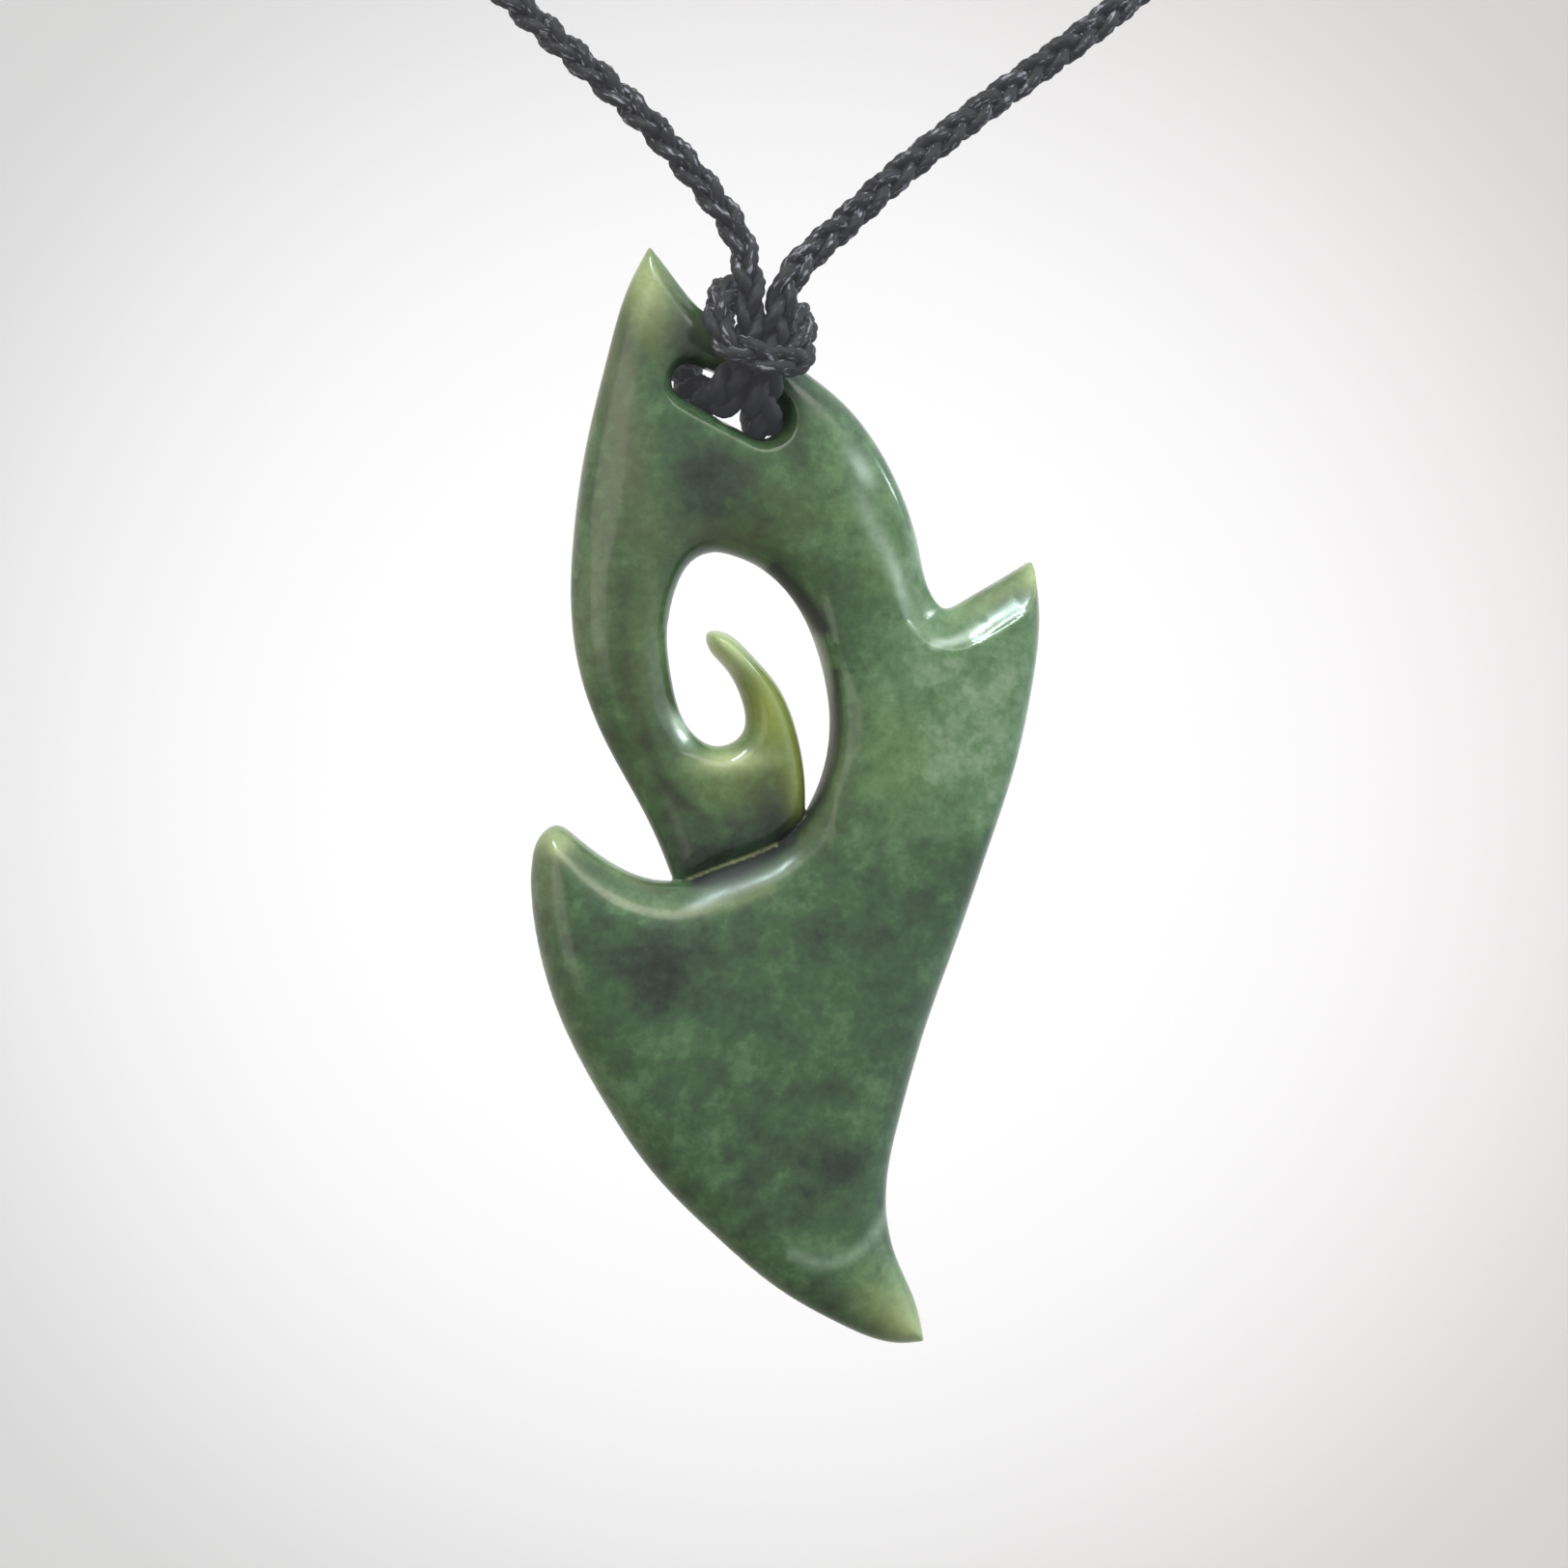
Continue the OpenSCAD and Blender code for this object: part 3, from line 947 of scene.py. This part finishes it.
    def surface(self) -> tuple[Array, Array, Array]:
        """Nets the surface and settles it.

        Every cell of a block of points that the surface crosses gets one point, and every edge of the block
        that it crosses gets a face between the four cells around it. Each point then moves to the middle of
        its neighbours and back along the slope to the surface, a few times over.

        Returns:
            Points in millimetres from the hang point, rows of four point numbers, and outward normals.
        """
        x, z, square = self.heights()
        slopes = np.gradient(square, self.grid_mm)
        gap = 2 * self.grid_mm
        block_x, block_z = (np.arange(side[0] + gap, side[-1] - gap, self.cell_mm) for side in (x, z))
        block_y = (np.arange(self.layers) - (self.layers - 1) / 2) * self.cell_mm
        sheet = self.sample(x, z, square, *np.meshgrid(block_x, block_z, indexing="ij"))
        points, faces = net(sheet[:, None, :] > (block_y**2)[None, :, None])
        points = points * self.cell_mm + (block_x[0], block_y[0], block_z[0])
        starts = faces.T.ravel()
        stops = np.roll(faces, -1, axis=1).T.ravel()
        ends = np.concatenate([starts, stops])
        others = np.concatenate([stops, starts])
        count = np.bincount(ends, minlength=len(points))
        for turn in range(self.relax_turns + self.settle_turns):
            if turn < self.relax_turns:
                sums = [np.bincount(ends, points[others, k], len(points)) for k in range(3)]
                middle = np.stack(sums, axis=1) / count[:, None]
                points = points + self.relax_share * (middle - points)
            for _ in range(2):
                value = self.sample(x, z, square, points[:, 0], points[:, 2]) - points[:, 1] ** 2
                slope = self.slope(x, z, slopes, points)
                move = np.clip(value / (slope**2).sum(1), -self.settle_mm, self.settle_mm)
                points = points - move[:, None] * slope
        return points, faces, unit(-self.slope(x, z, slopes, points))

    def slope(self, x: Array, z: Array, slopes: list[Array], points: Array) -> Array:
        """Steepest rise of the squared half thickness less the squared distance from the middle plane."""
        along_x, along_z = (self.sample(x, z, values, points[:, 0], points[:, 2]) for values in slopes)
        return np.stack([along_x, -2 * points[:, 1], along_z], axis=1)

    def sample(self, x: Array, z: Array, values: Array, at_x: Array, at_z: Array) -> Array:
        """Reads a grid between its points, as the mean of the four around each place weighted by nearness.

        Args:
            x: Sideways places of the grid.
            z: Its heights.
            values: Its values.
            at_x: Sideways places to read at.
            at_z: Their heights.

        Returns:
            A value for each place.
        """
        u = np.clip((at_x - x[0]) / self.grid_mm, 0, len(x) - 1.001)
        v = np.clip((at_z - z[0]) / self.grid_mm, 0, len(z) - 1.001)
        i, j = u.astype(int), v.astype(int)
        u, v = u - i, v - j
        low = values[i, j] * (1 - u) + values[i + 1, j] * u
        high = values[i, j + 1] * (1 - u) + values[i + 1, j + 1] * u
        return low * (1 - v) + high * v

    def patterns(self, x: Array, z: Array) -> dict[str, Array]:
        """Gives the stone's colouring, from the listed patches and streaks.

        Args:
            x: Sideways places of the points.
            z: Their heights.

        Returns:
            Values for each point by attribute name: the tone, and the strength of each tint, among them
                painted light and shade.
        """
        values = {name: np.zeros_like(x) for name, _ in self.spots}
        values["tone"] += self.tone
        for name, patches in self.spots:
            for *place, width, height, turn, amount in patches:
                values[name] += amount * spot(x, z, place, (width, height), turn)
        for name, width, amount, way in self.streaks:
            values[name] += amount * streak(x, z, way, width)
        return values

    def build(self, finish: Nephrite) -> Piece:
        """Makes the carving's piece.

        Args:
            finish: The stone.

        Returns:
            The piece, which stands for the frame's pendant.
        """
        points, faces, normals = self.surface()
        piece = make_piece("jade_carving", points + HANG, faces.tolist(), finish.material())
        for name, values in self.patterns(points[:, 0], points[:, 2]).items():
            attribute = piece.data.attributes.new(name, "FLOAT", "POINT")
            attribute.data.foreach_set("value", values.astype(np.float32))
        piece.data.normals_split_custom_set_from_vertices(normals)
        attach(piece, "root")
        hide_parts("pendant")
        return piece


def net(inside: Array) -> tuple[Array, Array]:
    """Nets the boundary of a block of inside and outside points.

    Args:
        inside: Whether each point of the block is in the solid.

    Returns:
        Middles of the crossed cells in steps of the block, and rows of four of them round each crossed
        edge, counter-clockwise as seen from outside.
    """
    cells = tuple(n - 1 for n in inside.shape)
    corners = [
        inside[i : i + cells[0], j : j + cells[1], k : k + cells[2]].astype(np.int8)
        for i in (0, 1)
        for j in (0, 1)
        for k in (0, 1)
    ]
    count = sum(corners)
    crossed = (count > 0) & (count < 8)
    number = np.full(cells, -1)
    number[crossed] = np.arange(crossed.sum())
    faces = []
    for a in range(3):
        low = np.take(inside, np.arange(inside.shape[a] - 1), axis=a)
        high = np.take(inside, np.arange(1, inside.shape[a]), axis=a)
        edges = np.argwhere(low != high)
        leaving = low[tuple(edges.T)]
        step_b, step_c = (np.eye(3, dtype=int)[(a + n) % 3] for n in (1, 2))
        ring = [edges, edges - step_b, edges - step_b - step_c, edges - step_c]
        quads = np.stack([number[tuple(cell.T)] for cell in ring], axis=1)
        faces.append(np.where(leaving[:, None], quads, quads[:, ::-1]))
    return np.argwhere(crossed) + 0.5, np.concatenate(faces)


# Cord


@dataclass(frozen=True)
class Plait:
    """Flat plait of three twisted strands.

    Strand k of three goes from side to side as the sine of its phase and from front to back as the sine of
    twice its phase, a third of a turn after the strand before it, so it passes over one and under the next.
    """

    pitch_mm: float = 7.32
    side_mm: float = 0.56
    depth_mm: float = 0.38
    strand_mm: float = 0.47
    ply_groove: float = 0.12
    ply_pitch_mm: float = 2.1
    plies: int = 3
    sides: int = 12

    def mesh(self, path: Array, across: Array, start_mm: float = 0.0, swell: Array | float = 1.0) -> Mesh:
        """Lays the three strands along a path.

        A strand's ring lies square to the strand's own direction. Its radius has a shallow groove between
        plies, and the grooves turn with the length as the plies twist.

        Args:
            path: Points along the middle of the cord at equal steps, in millimetres.
            across: Direction of the plait's flat side at each point.
            start_mm: Length along the whole cord at the first point, which sets where the strands cross.
            swell: How much wider than usual the plait is at each point.

        Returns:
            Points, faces and a UV pair for each corner of each face, in the order of the faces.
        """
        along = start_mm + lengths(path)
        out = unit(np.cross(unit(np.gradient(path, axis=0)), across))
        angle = np.arange(self.sides) * 2 * np.pi / self.sides
        tubes = []
        for k in range(3):
            phase = 2 * np.pi * (along / self.pitch_mm + k / 3)
            aside = (self.side_mm * swell * np.sin(phase))[:, None] * across
            middle = path + aside + (self.depth_mm * swell * np.sin(2 * phase))[:, None] * out
            own = unit(np.gradient(middle, axis=0))
            first = unit(across - (across * own).sum(1)[:, None] * own)
            second = np.cross(own, first)
            twist = self.plies * (angle[None, :] - 2 * np.pi * along[:, None] / self.ply_pitch_mm)
            radius = self.strand_mm * (1 - self.ply_groove * (1 - np.abs(np.cos(twist / 2))) * 2)
            radius = radius * np.broadcast_to(swell, len(path))[:, None]
            ways = np.cos(angle)[:, None] * first[:, None, :] + np.sin(angle)[:, None] * second[:, None, :]
            rings = middle[:, None, :] + radius[:, :, None] * ways
            tubes.append((rings.reshape(-1, 3), *tube_faces(self.sides, along)))
        return joined(tubes)


def joined(meshes: list[Mesh]) -> Mesh:
    """Joins meshes into one.

    Args:
        meshes: Points, faces and a UV pair for each corner of each face, of each mesh.

    Returns:
        The same of the whole.
    """
    faces = []
    base = 0
    for points, own_faces, _ in meshes:
        faces.extend([[n + base for n in face] for face in own_faces])
        base += len(points)
    return np.concatenate([m[0] for m in meshes]), faces, np.concatenate([m[2] for m in meshes])


def ring_quads(rings: int, sides: int) -> tuple[Array, Array, Array]:
    """Numbers the faces between closed rings of points.

    Args:
        rings: How many rings there are.
        sides: How many points each ring has.

    Returns:
        Ring and side of each face, and rows of four point numbers.
    """
    i, k = (n.ravel() for n in np.meshgrid(np.arange(rings - 1), np.arange(sides), indexing="ij"))
    low, high = i * sides, (i + 1) * sides
    after = (k + 1) % sides
    return i, k, np.stack([low + k, low + after, high + after, high + k], axis=1)


def tube_faces(sides: int, along: Array) -> tuple[list, Array]:
    """Numbers the faces of a closed tube of rings.

    Args:
        sides: How many points each ring has.
        along: Length at each ring, which becomes V.

    Returns:
        Faces as lists of point numbers, with both ends closed, and a UV pair for each of their corners.
    """
    i, k, quads = ring_quads(len(along), sides)
    u = np.stack([k, k + 1, k + 1, k], axis=1) / sides
    v = np.stack([along[i], along[i], along[i + 1], along[i + 1]], axis=1)
    last = (len(along) - 1) * sides
    caps = [list(range(sides - 1, -1, -1)), list(range(last, last + sides))]
    ends = np.concatenate([np.full((sides, 2), along[0]), np.full((sides, 2), along[-1])])
    return quads.tolist() + caps, np.concatenate([np.stack([u, v], axis=2).reshape(-1, 2), ends])


def carried(path: Array, first: Array) -> Array:
    """Carries a sideways direction along a path, turning it as little as the path asks.

    Each ring's direction is the last one's less the part of it that lies along the new heading. It is
    worked out ring by ring, as each depends on the one before.

    Args:
        path: Points of the path.
        first: Sideways direction at its start.

    Returns:
        A unit direction for each point, square to the path.
    """
    result = np.empty_like(path)
    now = np.asarray(first, float)
    for i, ahead in enumerate(unit(np.gradient(path, axis=0))):
        now = now - now @ ahead * ahead
        now = now / np.linalg.norm(now)
        result[i] = now
    return result


@dataclass
class NeckCord:
    """The whole loop of cord: left side, hitch round the rim and right side, in one run of plait."""

    plait: Plait = Plait()
    neck_step_mm: float = 0.22
    hitch_step_mm: float = 0.14
    left_neck: Points = (
        (-4.5, 0, 0), (-16, -0.6, -0.8), (-34, -4.5, -3), (-49, -16, -8), (-58, -34, -17), (-60, -54, -30),
        (-55, -73, -44), (-46, -89.5, -58), (-35, -103.5, -71), (-23.5, -114, -83.5),
    )
    left_leg: Points = (
        (-14.3, 5.5, 22), (-9.6, 2.5, 17.3), (-6.3, 0.7, 13.8),
    )
    hitch_route: Points = (
        (-3.3, -0.7, 10.0), (-1.85, -1.7, 7.5), (-1.3, -2.5, 5.0), (-1.25, -3.05, 2.9), (-1.55, -3.25, 1.1),
        (-2.1, -3.4, -0.6), (-2.5, -3.0, -1.9), (-2.9, -1.7, -2.55), (-3.4, -0.3, -2.4), (-3.9, 1.0, -2.1),
        (-4.35, 2.2, -1.65), (-4.5, 3.25, -0.75), (-4.1, 3.4, 0.8), (-2.9, 3.2, 2.3), (-2.1, 2.2, 3.7),
        (-2.15, 0.8, 4.35), (-2.45, -0.8, 4.25), (-2.95, -2.4, 3.45), (-3.3, -3.5, 2.1), (-3.05, -4.4, 0.9),
        (-2.1, -5.0, 0.2), (-0.9, -5.15, -0.15), (0.3, -5.0, -0.45), (1.3, -4.5, -0.35),
        (1.85, -3.65, 0.45), (2.1, -2.5, 1.7), (2.2, -0.9, 2.6), (2.3, 0.8, 2.6), (2.35, 2.3, 1.7),
        (1.95, 3.6, 0.15), (1.15, 3.8, -1.5), (0.35, 3.0, -3.3), (0.1, 1.3, -3.85), (0.0, -0.2, -4.0),
        (-0.35, -1.7, -3.85), (-0.5, -3.0, -2.85), (-0.35, -3.45, -1.1), (0.1, -3.3, 0.7),
        (0.5, -3.05, 2.6), (1.1, -2.5, 4.4), (2.3, -1.7, 6.0), (4.0, -0.9, 7.5),
    )
    right_leg: Points = (
        (7.6, 0.6, 10.7), (11.9, 2.8, 14.1), (16.3, 5.2, 17.3), (22.9, 8.5, 22),
    )
    right_neck: Points = (
        (33, -109.5, -85), (43.5, -99, -73), (52, -86, -60), (58, -70, -46), (60.5, -52, -31),
        (58, -33, -17.5), (49, -16, -8), (34, -4.5, -3), (16, -0.6, -0.8), (4.5, 0, 0),
    )
    # Stretches of the hitch, by the numbers of their first and last points
    # In the first stretches the cord lies in shade: its highlight flecks are left out, as painted shade
    shaded_stretches: tuple[tuple[int, int], ...] = ((3, 14), (29, 39))
    pressed: tuple[tuple[int, int], ...] = ((6, 13), (30, 37))
    pressed_by: float = 0.28

    def route(self) -> tuple[Array, list[float]]:
        """Runs one smooth curve through every point of the loop.

        Returns:
            Its points at equal steps, and the length at every point from the hitch's start to its end.
        """
        hung = [tuple(np.add(HANG, p)) for p in self.left_leg + self.hitch_route + self.right_leg]
        knots = np.asarray(list(self.left_neck) + hung + list(self.right_neck), float)
        path = spline(knots, self.hitch_step_mm / 2)
        length = lengths(path)
        first = len(self.left_neck) + len(self.left_leg) - 1
        hitch = knots[first : first + len(self.hitch_route) + 2]
        return path, [length[np.linalg.norm(path - knot, axis=1).argmin()] for knot in hitch]

    def build(self, finish: Material) -> list[Piece]:
        """Makes the three pieces of the loop.

        The plait's flat side faces the front on both legs. In the hitch it is carried along, and the small
        turn that is left over at its end is spread along it.

        Args:
            finish: The twine.

        Returns:
            The left side, the hitch and the right side.
        """
        path, marks = self.route()
        whole = lengths(path)[-1]
        evens = []
        for low, high, step in (
            (0.0, marks[0], self.neck_step_mm),
            (marks[0], marks[-1], self.hitch_step_mm),
            (marks[-1], whole, self.neck_step_mm),
        ):
            evens.append(np.linspace(low, high, math.ceil((high - low) / step) + 1))
        left, hitch, right = (at_lengths(path, even) for even in evens)
        front = np.array([0.0, -1.0, 0.0])
        across_left = carried(left[::-1], np.cross(left[-1] - left[-2], front))[::-1]
        across_hitch = carried(hitch, across_left[-1])
        across_right = carried(right, np.cross(right[1] - right[0], front))
        found, wanted = across_hitch[-1], across_right[0]
        turn = math.atan2(np.cross(found, wanted) @ unit(hitch[-1] - hitch[-2]), found @ wanted)
        turn -= math.pi * round(turn / math.pi)
        spread = turn * np.linspace(0, 1, len(hitch))[:, None]
        side = np.cross(unit(np.gradient(hitch, axis=0)), across_hitch)
        across_hitch = np.cos(spread) * across_hitch + np.sin(spread) * side
        if across_hitch[-1] @ wanted < 0:
            across_right = -across_right
        pieces = []
        for name, even, run, across in zip(
            ("cord_left", "hitch", "cord_right"),
            evens,
            (left, hitch, right),
            (across_left, across_hitch, across_right),
        ):
            # Painted shade: the highlight flecks fade out along the shaded stretches
            worn = np.tile(np.repeat(1 - self.within(even, marks, self.shaded_stretches), self.plait.sides), 3)
            swell = 1 + self.pressed_by * self.within(even, marks, self.pressed)
            piece = make_twine("plait_" + name, self.plait.mesh(run, across, even[0], swell), worn, finish)
            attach(piece, "root")
            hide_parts(name)
            pieces.append(piece)
        LOG.info("cord %.0f mm long, hitch %.0f mm of it", whole, marks[-1] - marks[0])
        return pieces

    def within(self, along: Array, marks: list[float], spans: tuple[tuple[int, int], ...]) -> Array:
        """Tells which lengths lie in some stretches of the hitch, with a soft millimetre at each end.

        Args:
            along: Lengths along the cord.
            marks: Length at each point of the hitch.
            spans: Number of the first and the last point of each stretch.

        Returns:
            Shares from 0 to 1.
        """
        ends = [(marks[a], marks[b]) for a, b in spans]
        return sum(fade(along, low, low + 1) * fade(along, high, high - 1) for low, high in ends)


def make_twine(name: str, mesh: Mesh, worn: Array, finish: Material) -> Piece:
    """Makes a piece of plait with its own UV map and painted shade.

    Args:
        name: Name of the piece.
        mesh: Points in millimetres, faces and a UV pair for each corner of each face.
        worn: For each point, 1 where the highlight flecks may show and 0 in the painted shade inside the
            hitch.
        finish: The twine.

    Returns:
        The new object.
    """
    points, faces, uv = mesh
    piece = make_piece(name, points, faces, finish)
    piece.data.uv_layers.new(name="twine").data.foreach_set("uv", uv.astype(np.float32).ravel())
    piece.data.attributes.new("worn", "FLOAT", "POINT").data.foreach_set("value", worn.astype(np.float32))
    return piece


@dataclass
class NapeKnot:
    """The closing knot at the nape: the cord's end wound round the loop in close turns."""

    plait: Plait = Plait()
    length_mm: float = 9.0
    coil_mm: float = 1.4
    turns: float = 5.0
    wire_mm: float = 1.6
    step_mm: float = 0.18
    tuck_share: float = 0.07

    def build(self, finish: Material) -> Piece:
        """Makes the knot's piece.

        The winding goes evenly along X at a fixed radius, and at each end the radius falls to nothing
        within a third of a turn, as the end is tucked in. The core is the loop itself, straight through the
        winding.

        Args:
            finish: The twine.

        Returns:
            The piece.
        """
        half = self.length_mm / 2
        share = np.linspace(-0.5, 0.5, 600)
        angle = share * self.turns * 2 * np.pi
        radius = self.coil_mm * fade(0.5 - np.abs(share), 0.0, self.tuck_share)
        reach = 2 * (half - self.wire_mm / 2) * share
        coil = np.stack([reach, -radius * np.cos(angle), radius * np.sin(angle)], axis=1)
        coil = spline(coil[::6], self.step_mm)
        core = np.stack([np.linspace(-half, half, 50), np.zeros(50), np.zeros(50)], axis=1)
        upwards = np.array([0.0, 0.0, 1.0])
        mesh = joined([self.plait.mesh(run, carried(run, upwards)) for run in (coil, core)])
        piece = make_twine("plait_nape_knot", mesh, np.ones(len(mesh[0])), finish)
        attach(piece, "root")
        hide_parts("nape_knot")
        return piece


# Studio


@dataclass
class Studio:
    """Round bowl of white paper, soft lights and the camera, in metres where a name doesn't end in mm."""

    radius: float = 1.9
    floor: float = -1.05
    wall_top: float = 1.6
    cove: float = 0.6
    sides: int = 96
    azimuth: float = -9.0
    distance: float = 0.45
    frame_mm: float = 97.25
    centre_mm: Pair = (1.32, -26.35)
    sensor_mm: float = 36.0
    # The dome's light at eye level, and how much of it is added towards +X, +Y and +Z
    dome_light: float = 0.73
    dome_slopes: tuple[float, float, float] = (0.16, 0.3, 0.35)
    pool_watts: float = 43.0
    pool_angle: float = 25.8
    pool_back: float = 0.35
    # Soft boxes: name, metres from the middle of the picture, width and height, watts and colour
    boxes: tuple[tuple[str, tuple[float, ...], Pair, float, str], ...] = (
        ("top_window", (0.05, -0.63, 0.66), (1.1, 0.26), 2.2, "FFFAF0"),
        ("fill", (-0.6, -0.6, 0.1), (0.5, 0.7), 1.1, "FFF6EC"),
        ("left_pane", (-0.2, -0.37, 0.625), (0.34, 0.045), 1.9, "EAFFFF"),
        ("right_pane", (0.68, -0.17, 0.42), (0.14, 0.08), 0.6, "F0FFFF"),
        ("right_soft", (0.7, -0.3, 0.25), (0.6, 0.6), 0.6, "F4FAFF"),
    )

    def target(self) -> Vector:
        """Middle of the picture, on the carving's middle plane."""
        return Vector((HANG[0] + self.centre_mm[0], HANG[1], HANG[2] + self.centre_mm[1])) * MM

    def back(self) -> Vector:
        """Direction from the carving to the camera."""
        a = math.radians(self.azimuth)
        return Vector((math.sin(a), -math.cos(a), 0.0))

    def paper(self) -> None:
        """Makes the bowl, a profile turned round the upright axis: flat floor, round cove, upright wall."""
        bend = np.linspace(0, np.pi / 2, 17)
        reach = np.concatenate(([0.6], self.radius - self.cove + self.cove * np.sin(bend), [self.radius]))
        rise = np.concatenate(([0.0], self.cove - self.cove * np.cos(bend), [self.wall_top - self.floor]))
        angle = np.arange(self.sides) * 2 * np.pi / self.sides
        r, z = (np.repeat(side[:, None], self.sides, axis=1) for side in (reach, rise))
        rings = np.stack([r * np.cos(angle), r * np.sin(angle), z], axis=2).reshape(-1, 3)
        points = np.concatenate([rings, [[0.0, 0.0, 0.0]]]) + (0, HANG[1] * MM, self.floor)
        quads = ring_quads(len(r), self.sides)[2][:, ::-1]
        fan = [[len(points) - 1, n, (n + 1) % self.sides] for n in range(self.sides)]
        bowl = make_piece("studio_paper", points / MM, quads.tolist() + fan, StudioPaper().material())
        for seen in ("visible_diffuse", "visible_glossy", "visible_transmission", "visible_shadow"):
            setattr(bowl, seen, False)

    def dome(self) -> None:
        """Sets the soft light that comes from everywhere.

        It is brighter above and behind than on the camera's side, warm on the left and cool on the right.
        """
        world = bpy.data.worlds.new("studio_dome")
        bpy.context.scene.world = world
        world.use_nodes = True
        tree = world.node_tree
        tree.nodes.clear()
        parts = add_node(tree, "SeparateXYZ", Vector=add_node(tree, "TexCoord").outputs["Generated"])
        light = self.dome_light
        for way, more in zip(parts.outputs, self.dome_slopes):
            light = add_node(tree, "Math", {"operation": "MULTIPLY_ADD"}, i0=way, i1=more, i2=light)
        side = add_node(tree, "MapRange", Value=parts, From_Min=-0.8, From_Max=0.8)
        warm, cool = linear("F5E9DC"), linear("EAF4F8")
        colour = add_node(tree, "Mix", {"data_type": "RGBA"}, i0=side, i6=warm, i7=cool).outputs[2]
        glow = add_node(tree, "Background", Color=colour, Strength=light)
        add_node(tree, "OutputWorld", Surface=glow)

    def put(self, data: bpy.types.ID, place: Vector, back: Vector) -> Piece:
        """Puts a light or a camera into the scene.

        Args:
            data: The light or the camera.
            place: Where it stands.
            back: Direction that its back is turned to.

        Returns:
            The new object, which the camera doesn't see.
        """
        item = bpy.data.objects.new(data.name, data)
        item.location = place
        item.rotation_mode = "QUATERNION"
        item.rotation_quaternion = back.to_track_quat("Z", "Y")
        item.visible_camera = False
        bpy.context.scene.collection.objects.link(item)
        return item

    def lamps(self) -> None:
        """Adds the soft boxes, which face the carving, and the round pool of light on the paper behind it.

        The pool leaves the picture's corners grey.
        """
        pool = bpy.data.lights.new("paper_pool", "SPOT")
        pool.energy = self.pool_watts
        pool.shadow_soft_size = 0.02
        pool.spot_size = math.radians(self.pool_angle)
        pool.spot_blend = 1.0
        self.put(pool, self.target() - self.back() * self.pool_back, self.back())
        for name, place, size, watts, code in self.boxes:
            light = bpy.data.lights.new(name, "AREA")
            light.shape = "RECTANGLE"
            light.size, light.size_y = size
            light.energy = watts
            light.color = linear(code)[:3]
            self.put(light, self.target() + Vector(place), Vector(place))

    def camera(self) -> None:
        """Sets the camera at the photograph's angle and framing."""
        lens = bpy.data.cameras.new("camera")
        lens.sensor_width = self.sensor_mm
        lens.lens = self.sensor_mm * self.distance / (self.frame_mm * MM)
        bpy.context.scene.camera = self.put(lens, self.target() + self.back() * self.distance, self.back())

    def build(self) -> None:
        """Sets up the whole studio."""
        bpy.context.scene.view_settings.view_transform = "Standard"
        self.camera()
        self.paper()
        self.dome()
        self.lamps()


def main() -> None:
    """Builds the studio, the carving and the cord in order."""
    logging.basicConfig(level=logging.INFO, format="%(message)s")
    Studio().build()
    carving = Carving().build(Nephrite())
    twine = WaxedTwine().material()
    for piece in [carving] + NeckCord().build(twine) + [NapeKnot().build(twine)]:
        LOG.info("%s: %d faces", piece.name, len(piece.data.polygons))


if __name__ == "__main__":
    main()
